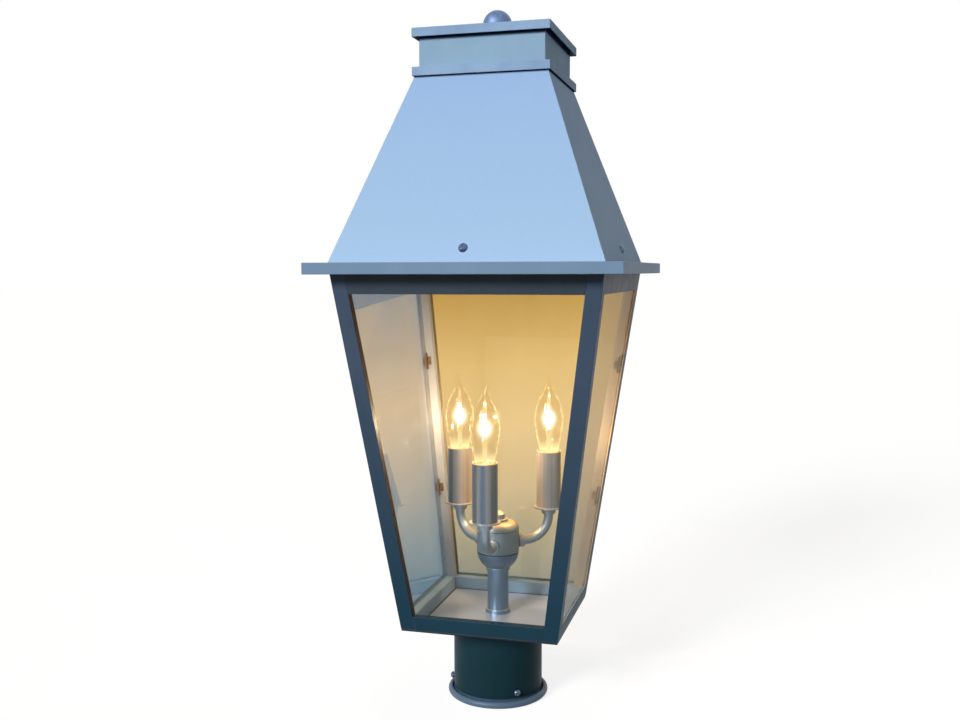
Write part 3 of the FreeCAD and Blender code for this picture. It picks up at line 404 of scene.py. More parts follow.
@dataclass(frozen=True)
class SatinPaint(Finish):
    """Satin paint on sheet metal, with a fine peel and fine flakes, and painted light and shade: along the
    edges, on faces by the way they look and in bands by height.
    """

    body: Colour
    cloud: Colour
    # Colour painted along the edges: mostly a painted highlight, and painted shade where it is darker than
    # the body.
    edge: Colour
    # Painted light on faces that look inward: lamp light on the back posts, the rails and the sleeves, shade
    # on the front posts.
    inner_painted_light: Colour | None = None
    inner_painted_light_turn: Pair = INWARD
    # Painted shade on faces that look down.
    under_painted_shade: Colour | None = None
    # Painted light on faces that look up.
    upper_painted_light: Colour | None = None
    seam: Colour = tone(24, 34, 42)
    seam_levels: tuple[float, ...] = ()
    seam_half: float = 0.45 * MM
    seam_square: float | None = None
    # Painted light towards the bottom: lighter towards the roof's brim and a painted highlight on the
    # fitter's bead; the frame turns a darker teal there.
    foot_painted_light: Colour | None = None
    foot_levels: Pair = (0.0, 1.0)
    foot_gloss: float | None = None
    # Painted light in a band high up: shade beneath an overhanging rim on the roof and the chimney, warm lamp
    # light on the sleeves' rims.
    crest_painted_light: Colour | None = None
    crest_levels: Pair = (0.0, 1.0)
    metal: float = 0.0
    gloss: float = 0.12
    roughness: float = 0.5
    mottle_scale: float = 60.0
    mottle_depth: Pair = (-0.04, 0.05)
    edge_radius: float = 0.8 * MM
    # Noise that breaks up the painted light along the edges.
    edge_light_scale: float = 120.0
    edge_light_spots: Pair = (0.3, 0.6)
    edge_light_share: Pair = (0.35, 0.8)
    flake_scale: float = 2600.0
    flake_depth: float = 0.05
    peel_scale: float = 900.0
    peel_depth: float = 0.02 * MM
    peel_strength: float = 0.4
    cloud_scale: float = 14.0
    cloud_reach: float = 0.15
    streak: Point = EVEN
    streak_finer: float = 1.6
    streak_depth: float = 0.0

    def tones(self, recipe: Recipe, edge_mask: NodeSocket) -> NodeSocket:
        """Mix the tones that change over the sheet: clouds, painted light towards the bottom and high up,
        flakes, and painted light along the edges.

        Args:
            recipe: The node tree to build in.
            edge_mask: 1 along the edges.

        Returns:
            The colour.
        """
        clouds = recipe.spread(recipe.noise(self.cloud_scale, 3.0, self.streak), 0.0, 1.0, self.cloud_reach)
        colour = recipe.blend(clouds, self.body, self.cloud)
        # Painted light towards the bottom.
        if self.foot_painted_light is not None:
            low_down = recipe.level(recipe.height(), *self.foot_levels, 1.0, 0.0)
            colour = recipe.blend(low_down, colour, self.foot_painted_light)
        # Painted light in a band high up.
        if self.crest_painted_light is not None:
            high_up = recipe.level(recipe.height(), *self.crest_levels, 0.0, 1.0)
            colour = recipe.blend(high_up, colour, self.crest_painted_light)
        flakes = recipe.noise(self.flake_scale, 1.0)
        colour = recipe.shade(colour, recipe.spread(flakes, 1.0 - self.flake_depth, 1.0 + self.flake_depth))
        # Painted light along the edges, broken up by noise.
        edge_light = recipe.level(recipe.noise(self.edge_light_scale, 3.0), *self.edge_light_spots, *self.edge_light_share)
        return recipe.blend(recipe.times(edge_mask, edge_light), colour, self.edge)

    def colour(self, recipe: Recipe, edge_mask: NodeSocket) -> NodeSocket:
        """Lay painted light and shade on faces that look inward, down and up, then the streaks and the seams,
        over the rest.

        Args:
            recipe: The node tree to build in.
            edge_mask: 1 along the edges.

        Returns:
            The colour.
        """
        colour = self.tones(recipe, edge_mask)
        # Painted light and shade on faces that look inward.
        if self.inner_painted_light is not None:
            colour = recipe.blend(recipe.inside(*self.inner_painted_light_turn), colour, self.inner_painted_light)
        # Painted shade on faces that look down.
        if self.under_painted_shade is not None:
            colour = recipe.blend(recipe.upright(*DOWNWARD), colour, self.under_painted_shade)
        # Painted light on faces that look up.
        if self.upper_painted_light is not None:
            colour = recipe.blend(recipe.upright(*UPWARD), colour, self.upper_painted_light)
        if self.streak_depth:
            bands = recipe.noise(self.streak_finer * self.cloud_scale, 3.0, self.streak)
            colour = recipe.shade(colour, recipe.spread(
                bands, 1.0 - self.streak_depth, 1.0 + self.streak_depth, self.cloud_reach))
        for level in self.seam_levels:
            line = recipe.level(recipe.height_from(level), 0.5 * self.seam_half, self.seam_half, 1.0, 0.0)
            colour = recipe.blend(line, colour, self.seam)
        if self.seam_square is not None:
            colour = recipe.blend(recipe.beyond_square(self.seam_square), colour, self.seam)
        return colour

    def surface(self, recipe: Recipe) -> NodeSocket:
        """Build the shader.

        Args:
            recipe: The node tree to build in.

        Returns:
            The shader.
        """
        rounded, edge_mask = recipe.edges(self.edge_radius)
        mottle = recipe.noise(self.mottle_scale, 4.0, self.streak)
        smoother, rougher = (self.roughness + change for change in self.mottle_depth)
        peel = recipe.noise(self.peel_scale, 2.0, self.streak)
        gloss = self.gloss
        if self.foot_gloss is not None:
            gloss = recipe.level(recipe.height(), *self.foot_levels, self.foot_gloss, self.gloss)
        return recipe.add("BsdfPrincipled", {
            "Base Color": self.colour(recipe, edge_mask), "Metallic": self.metal, "Specular IOR Level": gloss,
            "Roughness": recipe.spread(mottle, smoother, rougher),
            "Normal": recipe.bump(peel, self.peel_depth, self.peel_strength, rounded)}).outputs["BSDF"]


@dataclass(frozen=True)
class BareMetal(Finish):
    """Plated or bright metal with fine turning marks and a few dull spots."""

    body: Colour
    dull: Colour
    roughness: float
    roughness_reach: float = 0.12
    metal: float = 0.9
    edge_radius: float = 0.3 * MM
    edge_polish: float = 0.08
    spot_scale: float = 260.0
    spots: Pair = (0.45, 0.7)
    mark_scale: float = 500.0
    mark_depth: float = 0.03 * MM
    mark_strength: float = 0.6
    marks: Point = (1.0, 1.0, 14.0)

    def surface(self, recipe: Recipe) -> NodeSocket:
        """Build the shader.

        Args:
            recipe: The node tree to build in.

        Returns:
            The shader.
        """
        rounded, edge_mask = recipe.edges(self.edge_radius)
        dulled = recipe.level(recipe.noise(self.spot_scale, 4.0), *self.spots, 0.0, 1.0)
        turning = recipe.noise(self.mark_scale, 2.0, self.marks)
        roughness = recipe.spread(turning, self.roughness, self.roughness + self.roughness_reach)
        return recipe.add("BsdfPrincipled", {
            "Base Color": recipe.blend(dulled, self.body, self.dull), "Metallic": self.metal,
            "Roughness": recipe.work_out(Sum.MINUS, roughness, recipe.times(edge_mask, self.edge_polish)),
            "Normal": recipe.bump(turning, self.mark_depth, self.mark_strength, rounded)}).outputs["BSDF"]


@dataclass(frozen=True)
class Moulding(Finish):
    """Dark moulded insulator with a faint grain and a painted highlight along the edges."""

    body: Colour
    # Colour painted along the edges: a painted highlight.
    edge: Colour
    roughness: Pair = (0.45, 0.6)
    edge_radius: float = 0.3 * MM
    grain_scale: float = 1500.0
    grain_depth: float = 0.04 * MM
    grain_strength: float = 0.4

    def surface(self, recipe: Recipe) -> NodeSocket:
        """Build the shader.

        Args:
            recipe: The node tree to build in.

        Returns:
            The shader.
        """
        rounded, edge_mask = recipe.edges(self.edge_radius)
        grain = recipe.noise(self.grain_scale, 3.0)
        return recipe.add("BsdfPrincipled", {
            "Base Color": recipe.blend(edge_mask, self.body, self.edge),
            "Roughness": recipe.spread(grain, *self.roughness),
            "Normal": recipe.bump(grain, self.grain_depth, self.grain_strength, rounded)}).outputs["BSDF"]


@dataclass(frozen=True)
class PaneGlass(Finish):
    """Clear float glass whose inward face carries painted light: a colour by height that stands for the
    lamps' warm light caught in the glass and the reflections seen in it.
    """

    painted_light_tints: tuple[tuple[float, Colour], ...]
    levels: Pair
    clear: Colour = tone(252, 254, 253)
    # The outward face mirrors a dimmed, warmed colour: painted shade in what it reflects.
    mirror: Colour = tone(160, 150, 138)
    mirror_inside: Colour = WHITE
    mirror_least: float = 0.04
    mirror_most: float = 0.6
    band_scale: float = 26.0
    band_stretch: Point = (1.0, 1.0, 0.12)
    band_shift: float = 0.02
    wash_scale: float = 12.0
    wash_stretch: Point = (1.0, 1.0, 0.3)
    wash_least: float = 0.97
    ripple_scale: float = 9.0
    ripple_depth: float = 0.15 * MM
    ripple_strength: float = 0.2

    def painted_light_tint(self, recipe: Recipe) -> NodeSocket:
        """Give the painted light of the inward face, which changes with the height.

        Args:
            recipe: The node tree to build in.

        Returns:
            The colour.
        """
        bands = recipe.noise(self.band_scale, 1.0, self.band_stretch)
        rise = recipe.work_out(Sum.PLUS, recipe.level(recipe.height(), *self.levels, 0.0, 1.0),
                               recipe.spread(bands, -self.band_shift, self.band_shift))
        colour = recipe.ramp(rise, [(place, surface_share(colour)) for place, colour in self.painted_light_tints])
        wash = recipe.noise(self.wash_scale, 2.0, self.wash_stretch)
        return recipe.shade(colour, recipe.spread(wash, self.wash_least, 1.0))

    def surface(self, recipe: Recipe) -> NodeSocket:
        """Build the shader.

        Args:
            recipe: The node tree to build in.

        Returns:
            The shader.
        """
        inside = recipe.inside(*INWARD)
        # The inward face carries the painted light; the outward face stays clear.
        colour = recipe.blend(inside, self.clear, self.painted_light_tint(recipe))
        through = recipe.add("BsdfTransparent", {"Color": colour}).outputs[0]
        ripple = recipe.bump(recipe.noise(self.ripple_scale, 1.0), self.ripple_depth, self.ripple_strength)
        shine = recipe.add("BsdfGlossy", {
            "Color": recipe.blend(inside, self.mirror, self.mirror_inside), "Roughness": 0.0,
            "Normal": ripple}).outputs[0]
        share = recipe.mirror_share(self.mirror_least, self.mirror_most)
        return recipe.mixed(share, through, shine)


@dataclass(frozen=True)
class LampGlass(Finish):
    """Thin clear lamp glass with painted light on it: a painted glow round the filament, painted glints along
    its rim and warm painted light at its bottom.
    """

    core: Colour
    warm: Colour
    core_level: float
    core_reach: float
    core_strength: float
    foot_level: float
    foot_reach: float
    foot_strength: float
    glint_reach: float
    glint_strength: float
    core_focus: float = 15.0
    glow_fall: float = 1.5
    glint_fall: float = 0.6
    clear: Colour = tone(254, 251, 244)
    mirror: Colour = tone(255, 240, 214)
    mirror_least: float = 0.04
    mirror_most: float = 0.3
    roughness: float = 0.02
    break_scale: float = 240.0
    breaks: Pair = (0.48, 0.62)
    break_least: float = 0.02

    def near(self, recipe: Recipe, level: float, reach: float, power: float) -> NodeSocket:
        """Give a soft mask round a level.

        Args:
            recipe: The node tree to build in.
            level: Where the mask is 1.
            reach: How far it goes up and down.
            power: How quickly it falls.

        Returns:
            The mask.
        """
        return recipe.power(recipe.level(recipe.height_from(level), 0.0, reach, 1.0, 0.0), power)

    def surface(self, recipe: Recipe) -> NodeSocket:
        """Build the shader.

        Args:
            recipe: The node tree to build in.

        Returns:
            The shader.
        """
        glance = recipe.glancing()
        clear = recipe.add("BsdfTransparent", {"Color": self.clear}).outputs[0]
        shine = recipe.add("BsdfGlossy", {"Color": self.mirror, "Roughness": self.roughness}).outputs[0]
        # Painted glow round the filament.
        heart = recipe.times(recipe.power(recipe.work_out(Sum.MINUS, 1.0, glance), self.core_focus),
                             self.near(recipe, self.core_level, self.core_reach, self.glow_fall))
        # Warm painted light at the bottom of the glass, by the sleeve's mouth.
        foot_painted_light = recipe.times(self.near(recipe, self.foot_level, self.foot_reach, self.glow_fall),
                            self.foot_strength)
        broken = recipe.level(recipe.noise(self.break_scale, 1.0), *self.breaks, self.break_least, 1.0)
        # Painted glints along the rim, broken up by noise.
        rim = recipe.times(recipe.times(recipe.power(glance, GLANCE_POWER), broken),
                           self.near(recipe, self.core_level, self.glint_reach, self.glint_fall))
        soft = recipe.work_out(Sum.PLUS, recipe.times(rim, self.glint_strength), foot_painted_light)
        lit = recipe.together(clear, recipe.glow(self.core, recipe.times(heart, self.core_strength)))
        lit = recipe.together(lit, recipe.glow(self.warm, soft))
        return recipe.mixed(recipe.mirror_share(self.mirror_least, self.mirror_most), lit, shine)


@dataclass(frozen=True)
class HotGlow(Finish):
    """Glow that is whitest in the middle of its height."""

    heart: Colour
    rim: Colour
    levels: Pair
    strength: float

    def surface(self, recipe: Recipe) -> NodeSocket:
        """Build the shader.

        Args:
            recipe: The node tree to build in.

        Returns:
            The shader.
        """
        low, high = self.levels
        share = recipe.level(recipe.height_from((low + high) / 2.0), 0.0, (high - low) / 2.0, 0.0, 1.0)
        return recipe.glow(recipe.blend(share, self.heart, self.rim), self.strength)


@dataclass(frozen=True)
class StudioWhite(Finish):
    """Pale floor that reads as white and keeps the shadow."""

    body: Colour
    own_light: float

    def surface(self, recipe: Recipe) -> NodeSocket:
        """Build the shader.

        Args:
            recipe: The node tree to build in.

        Returns:
            The shader.
        """
        matt = recipe.add("BsdfDiffuse", {"Color": self.body}).outputs[0]
        return recipe.together(matt, recipe.glow(WHITE, recipe.times(recipe.seen_directly(), self.own_light)))


# Frame paint: painted shade on the front posts' inward faces, painted highlights along the edges, and a
# darker teal towards the bottom.
FRAME_OUTSIDE = SatinPaint(
    "frame_paint", body=tone(68, 84, 106), cloud=tone(62, 78, 100), edge=tone(90, 110, 134),
    inner_painted_light=tone(44, 28, 24), foot_painted_light=tone(24, 58, 76), foot_levels=(0.10, 0.30))
# Lit copies for the back posts: painted lamp light on their inward faces; the right back post's darker edges
# are painted shade.
FRAME_BACK_LIT = SatinPaint(
    "frame_paint_lit", body=tone(78, 78, 80), cloud=tone(72, 74, 76), edge=tone(110, 112, 116),
    inner_painted_light=tone(168, 166, 168), foot_painted_light=tone(40, 66, 80), foot_levels=(0.10, 0.24))
FRAME_RIGHT_LIT = replace(FRAME_BACK_LIT, name="frame_paint_warm", edge=tone(60, 52, 52), inner_painted_light=tone(176, 156, 132))
# Rail paint: painted light on the inward faces and on faces that look up, painted highlights along the edges.
RAIL = SatinPaint(
    "rail_paint", body=tone(26, 60, 78), cloud=tone(22, 54, 70), edge=tone(150, 170, 188),
    inner_painted_light=tone(138, 160, 180), upper_painted_light=tone(160, 178, 194))
# The front rail's copy has less painted light: none on faces that look up and a dimmer inward face.
FRONT_RAIL = replace(
    RAIL, name="front_rail_paint", edge=tone(84, 106, 124), inner_painted_light=tone(96, 112, 124), upper_painted_light=None)
# Top rails: warm painted light on their inward faces.
TOP_RAIL = SatinPaint(
    "top_rail_paint", body=tone(62, 74, 86), cloud=tone(56, 68, 80), edge=tone(84, 98, 116),
    inner_painted_light=tone(120, 104, 84))
# Roof paint: painted light, lighter towards the brim, and a thin painted shadow at the very top beneath the
# neck ring.
ROOF = SatinPaint(
    "roof_paint", body=tone(157, 190, 232), cloud=tone(159, 192, 233), edge=tone(180, 206, 238),
    foot_painted_light=tone(171, 204, 237), foot_levels=(0.39, 0.54), crest_painted_light=tone(34, 52, 96),
    crest_levels=(0.5436, 0.5448), gloss=0.03, roughness=0.55)
# Trim paint: painted shade on faces that look down, and darker painted edges.
ROOF_TRIM = SatinPaint(
    "roof_trim_paint", body=tone(154, 184, 218), cloud=tone(140, 170, 206), edge=tone(126, 152, 190),
    under_painted_shade=tone(14, 24, 54), cloud_scale=30.0, gloss=0.03, roughness=0.55)
# Chimney paint: painted shade on faces that look down and a painted shadow at the top beneath the cap.
CHIMNEY = SatinPaint(
    "chimney_paint", body=tone(150, 183, 210), cloud=tone(143, 175, 204), edge=tone(176, 206, 236),
    under_painted_shade=tone(16, 26, 56), crest_painted_light=tone(26, 38, 72), crest_levels=(0.5752, 0.5770), cloud_scale=30.0,
    gloss=0.03, roughness=0.55)
# Brim paint: painted shade on faces that look down.
BRIM = SatinPaint(
    "brim_paint", body=tone(124, 151, 182), cloud=tone(117, 144, 174), edge=tone(152, 180, 210),
    under_painted_shade=tone(70, 78, 92))
# Fitter paint: a painted highlight along its bead at the bottom, where the paint is also glossier, and
# painted highlights along the edges.
FITTER = SatinPaint(
    "fitter_paint", body=tone(24, 54, 64), cloud=tone(20, 49, 57), edge=tone(96, 128, 150),
    foot_painted_light=tone(82, 106, 130), foot_levels=(0.0060, 0.0078), foot_gloss=0.4, gloss=0.06, roughness=0.45)
FLOOR_PLATE = SatinPaint(
    "floor_plate_paint", body=tone(240, 238, 246), cloud=tone(230, 228, 240), edge=tone(226, 230, 240),
    metal=0.5, roughness=0.34, gloss=0.4)
# Cluster paint: warm painted lamp light on faces that look up and painted highlights along the edges; the
# hub's and the stem's copies carry the same.
CLUSTER = SatinPaint(
    "cluster_paint", body=tone(158, 168, 180), cloud=tone(138, 152, 170), edge=tone(224, 222, 220),
    upper_painted_light=tone(232, 214, 190), metal=0.65, roughness=0.34, gloss=0.5, edge_radius=0.5 * MM)
HUB = replace(
    CLUSTER, name="hub_paint", body=tone(136, 152, 164), cloud=tone(122, 138, 154), upper_painted_light=tone(250, 212, 156),
    roughness=0.48)
STEM = replace(CLUSTER, name="stem_paint", body=tone(116, 140, 162), cloud=tone(102, 126, 150))
# Sleeve paint: painted lamp light on the faces towards the lantern's middle and a thin band of gold painted
# lamp light at the top of each sleeve.
SLEEVE = SatinPaint(
    "sleeve_paint", body=tone(84, 104, 124), cloud=tone(142, 142, 148), edge=tone(186, 196, 208),
    inner_painted_light=tone(190, 170, 156), inner_painted_light_turn=(0.1, -0.9), crest_painted_light=tone(250, 206, 120),
    crest_levels=(0.2186, 0.2192), metal=0.6, roughness=0.32, gloss=0.5, edge_radius=0.4 * MM,
    cloud_scale=120.0, streak=(1.0, 1.0, 0.012), streak_depth=0.2)
BALL = SatinPaint(
    "ball_paint", body=tone(124, 152, 190), cloud=tone(98, 122, 160), edge=tone(120, 148, 188), metal=0.5,
    roughness=0.5, gloss=0.3, cloud_scale=60.0, streak=(3.0, 3.0, 0.6))
SCREW = BareMetal("screw_steel", body=tone(96, 112, 140), dull=tone(70, 84, 108), roughness=0.3)
ZINC = BareMetal("zinc_steel", body=tone(176, 178, 176), dull=tone(150, 152, 150), roughness=0.35)
CLIP = BareMetal("clip_bronze", body=tone(146, 112, 74), dull=tone(86, 62, 44), roughness=0.3)
LAMP_CAP = BareMetal("lamp_cap_brass", body=tone(214, 178, 108), dull=tone(180, 144, 80), roughness=0.22)
# The insulator's edges carry a painted highlight, twice the body's light.
INSULATOR = Moulding("socket_insulator", body=tone(52, 44, 38), edge=doubled(tone(52, 44, 38)))

# Painted light of each pane's inward face, by share of its height, and the least share of light that it
# mirrors.
PANE_PAINTED_LIGHT = {
    "front": ((0.0, tone(240, 248, 255)), (1.0, tone(250, 246, 238))),
    "right": ((0.0, tone(150, 160, 160)), (0.5, tone(232, 206, 164)), (1.0, tone(196, 170, 124))),
    "back": ((0.0, tone(150, 147, 130)), (0.31, tone(221, 191, 142)), (0.52, tone(247, 207, 143)),
             (0.73, tone(240, 197, 122)), (0.87, tone(222, 178, 102)), (1.0, tone(202, 156, 76))),
    "left": ((0.0, tone(112, 146, 170)), (0.2, tone(146, 168, 184)), (0.4, tone(182, 182, 184)),
             (0.62, tone(222, 200, 182)), (0.81, tone(184, 180, 182)), (1.0, tone(158, 174, 192))),
}
PANE_MIRROR = {"front": 0.03, "right": 0.12, "back": 0.02, "left": 0.24}

# The posts at the back are lit copies of the frame paint: greyer, with painted lamp light on their inward
# faces; the front posts carry painted shade on theirs.
POST_FINISHES = {"front_right": FRAME_OUTSIDE, "right_back": FRAME_RIGHT_LIT, "back_left": FRAME_BACK_LIT,
                 "left_front": FRAME_OUTSIDE}
# The front bottom rail takes the copy with less painted light.
RAIL_FINISHES = {"front": FRONT_RAIL, "right": RAIL, "back": RAIL, "left": RAIL}
ROOF_FINISHES = {
    "roof_brim": BRIM, "roof_shell": ROOF, "neck_ring": ROOF_TRIM, "chimney": CHIMNEY,
    "chimney_cap": ROOF_TRIM, "chimney_bridge": ROOF_TRIM, "ball_finial": BALL, "roof_nuts": ZINC}


# ---------------------------------------------------------------- mesh helpers

def put_in_scene(name: str, data: Mesh | Light | Camera) -> Object:
    """Make an object and put it in the scene.

    Args:
        name: The object's name.
        data: Its mesh, light or camera.

    Returns:
        The object.
    """
    thing = bpy.data.objects.new(name, data)
    bpy.context.scene.collection.objects.link(thing)
    return thing


def new_piece(name: str, points: list[Vector], faces: list[tuple[int, ...]], finish: Finish) -> Object:
    """Make a smooth mesh object.

    Args:
        name: The piece's name.
        points: Its corners in the frame of the lantern.
        faces: Corner numbers of each face.
        finish: Its finish.

    Returns:
        The object, in the scene.
    """
    mesh = bpy.data.meshes.new(name)
    mesh.from_pydata([tuple(point) for point in points], [], faces)
    mesh.validate()
    mesh.polygons.foreach_set("use_smooth", [True] * len(mesh.polygons))
    mesh.materials.append(finish.material())
    return put_in_scene(name, mesh)


def lofted(rings: list[list[Vector]]) -> tuple[list[Vector], list[tuple[int, ...]]]:
    """Join rings of equal count into a closed skin with flat ends.

    Args:
        rings: Rings of points, each going the same way round.

    Returns:
        The points and the faces.
    """
    count = len(rings[0])
    points = [point for ring in rings for point in ring]
    faces = [tuple(reversed(range(count)))]
    for row in range(len(rings) - 1):
        for i in range(count):
            following = (i + 1) % count
            faces.append((row * count + i, row * count + following,
                          (row + 1) * count + following, (row + 1) * count + i))
    last = (len(rings) - 1) * count
    faces.append(tuple(range(last, last + count)))
    return points, faces


def level_ring(centre: Vector, radius: float, count: int) -> list[Vector]:
    """Points round an upright axis."""
    turns = [math.tau * i / count for i in range(count)]
    return [centre + Vector((radius * math.cos(turn), radius * math.sin(turn), 0.0)) for turn in turns]


def tube_rings(path: list[Vector], radius: float, count: int) -> list[list[Vector]]:
    """Rings along a path, each square to it and turned as little as possible.

    Args:
        path: Points along the middle of the tube.
        radius: Radius of the tube.
        count: Points in a ring.

    Returns:
        One ring for each point of the path.
    """
    rings = []
    side = Vector((1.0, 0.0, 0.0))
    for i, point in enumerate(path):
        way = (path[min(i + 1, len(path) - 1)] - path[max(i - 1, 0)]).normalized()
        side = (side - way * side.dot(way)).normalized()
        over = way.cross(side)
        rings.append([point + (side * math.cos(turn) + over * math.sin(turn)) * radius
                      for turn in (math.tau * k / count for k in range(count))])
    return rings


def smooth_between(corners: list[Pair], place: float) -> float:
    """Value of a smooth curve through corners.

    Args:
        corners: Places, in order, and the value at each.
        place: Where the value is wanted.

    Returns:
        The value there.
    """
    last = len(corners) - 1
    spot = max(i for i in range(last) if i == 0 or corners[i][0] <= place)
    (start, low), (end, high) = corners[spot], corners[spot + 1]
    before = corners[max(spot - 1, 0)]
    after = corners[min(spot + 2, last)]
    share = (place - start) / (end - start)
    rise_in = (high - before[1]) / (end - before[0]) * (end - start)
    rise_out = (after[1] - low) / (after[0] - start) * (end - start)
    squared, cubed = share ** 2, share ** 3
    return ((2 * cubed - 3 * squared + 1) * low + (cubed - 2 * squared + share) * rise_in
            + (3 * squared - 2 * cubed) * high + (cubed - squared) * rise_out)


def paint_node(name: str, finish: Finish) -> None:
    """Give a carried-over node its finish.

    Args:
        name: The node's name.
        finish: Its finish.
    """
    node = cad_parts[name]
    if not node.material_slots:
        node.data.materials.append(None)
    for slot in node.material_slots:
        slot.link = "OBJECT"
        slot.material = finish.material()
    log.info("%s in %s", name, finish.name)


@dataclass(frozen=True)
class EdgeRounding:
    """Small rounding of a node's folded or cut edges."""

    width: float
    segments: int = 2
    least_angle: float = math.radians(35.0)
    weld_reach: float = 1e-6

    def apply(self, name: str) -> None:
        """Round the edges of one node.

        Args:
            name: The node's name.
        """
        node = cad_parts[name]
        weld = node.modifiers.new("joined_corners", "WELD")
        weld.merge_threshold = self.weld_reach
        bevel = node.modifiers.new("rounded_edges", "BEVEL")
        bevel.width = self.width
        bevel.segments = self.segments
        bevel.limit_method = "ANGLE"
        bevel.angle_limit = self.least_angle
        bevel.harden_normals = True


# ---------------------------------------------------------------- sub-assemblies

@dataclass
class Fitter:
    """The tube that goes over the post, with its three screws."""

    screws: tuple[str, ...] = ("front", "back", "left")

    def dress(self) -> None:
        """Finish the fitter and its screws."""
        paint_node("post_fitter", FITTER)
        for place in self.screws:
            paint_node(f"set_screw_{place}", SCREW)


@dataclass
class GlazedFrame:
    """Base plate, corner posts, rails, panes and clips."""

    rounding: EdgeRounding = EdgeRounding(0.35 * MM)
    plate_seam: float = 1.2 * MM

    def dress(self) -> None:
        """Finish every piece of the frame."""
        self.dress_posts()
        self.dress_rails()
        self.dress_panes()
        inner_edge = -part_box("bottom_rail_left")[1].x
        paint_node("base_plate", replace(FLOOR_PLATE, seam_square=inner_edge - self.plate_seam))
        paint_node("glass_clips", CLIP)

    def dress_posts(self) -> None:
        """Finish the corner posts."""
        for corner, finish in POST_FINISHES.items():
            paint_node(f"corner_post_{corner}", finish)
            self.rounding.apply(f"corner_post_{corner}")

    def dress_rails(self) -> None:
        """Finish the rails at the bottom and at the top."""
        for side, finish in RAIL_FINISHES.items():
            paint_node(f"bottom_rail_{side}", finish)
            paint_node(f"top_rail_{side}", TOP_RAIL)
            self.rounding.apply(f"bottom_rail_{side}")
            self.rounding.apply(f"top_rail_{side}")

    def dress_panes(self) -> None:
        """Finish the four panes, each with the painted light that it shows from inside."""
        low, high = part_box("glass_pane_front")
        for side in SIDES:
            glass = PaneGlass(f"pane_glass_{side}", PANE_PAINTED_LIGHT[side], (low.z, high.z),
                              mirror_least=PANE_MIRROR[side])
            paint_node(f"glass_pane_{side}", glass)


@dataclass
class Roof:
    """Brim, hipped roof, neck ring, chimney, cap, ball and screws."""

    rounding: EdgeRounding = EdgeRounding(0.5 * MM)
    folded: tuple[str, ...] = ("roof_brim", "neck_ring", "chimney", "chimney_cap")

    def dress(self) -> None:
        """Finish every piece of the roof."""
        for name, finish in ROOF_FINISHES.items():
            paint_node(name, finish)
        for name in self.folded:
            self.rounding.apply(name)
        for side in SIDES:
            paint_node(f"roof_screw_{side}", SCREW)


@dataclass
class Cluster:
    """Stem, hub, arms, cups, sleeves and sockets."""

    satin: tuple[str, ...] = ("arm_collars", "candle_cups", "arm_front", "arm_right", "arm_left")
    hub: tuple[str, ...] = ("hub_body", "hub_cap", "hub_finial")
    stem: tuple[str, ...] = ("stem_tube", "hub_bowl")
    sleeves: tuple[str, ...] = ("candle_sleeve_front", "candle_sleeve_right", "candle_sleeve_left")
    plated: tuple[str, ...] = ("center_nipple", "nipple_locknut", "arm_locknuts")
    sockets: tuple[str, ...] = ("candle_sockets",)

    def dress(self) -> None:
        """Finish the cluster, with a dark line at both ends of the hub's band."""
        seams = (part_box("hub_bowl")[1].z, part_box("hub_body")[1].z)
        hub, stem = replace(HUB, seam_levels=seams), replace(STEM, seam_levels=seams)
        finishes = ((CLUSTER, self.satin), (hub, self.hub), (stem, self.stem), (SLEEVE, self.sleeves),
                    (ZINC, self.plated), (INSULATOR, self.sockets))
        for finish, names in finishes:
            for name in names:
                paint_node(name, finish)


class Lean(Enum):
    """Which way the drawn tip of each lamp leans, level, in metres at its very end."""

    FRONT = (1.8 * MM, 0.5 * MM)
    RIGHT = (0.4 * MM, 0.0)
    LEFT = (-1.5 * MM, -0.4 * MM)


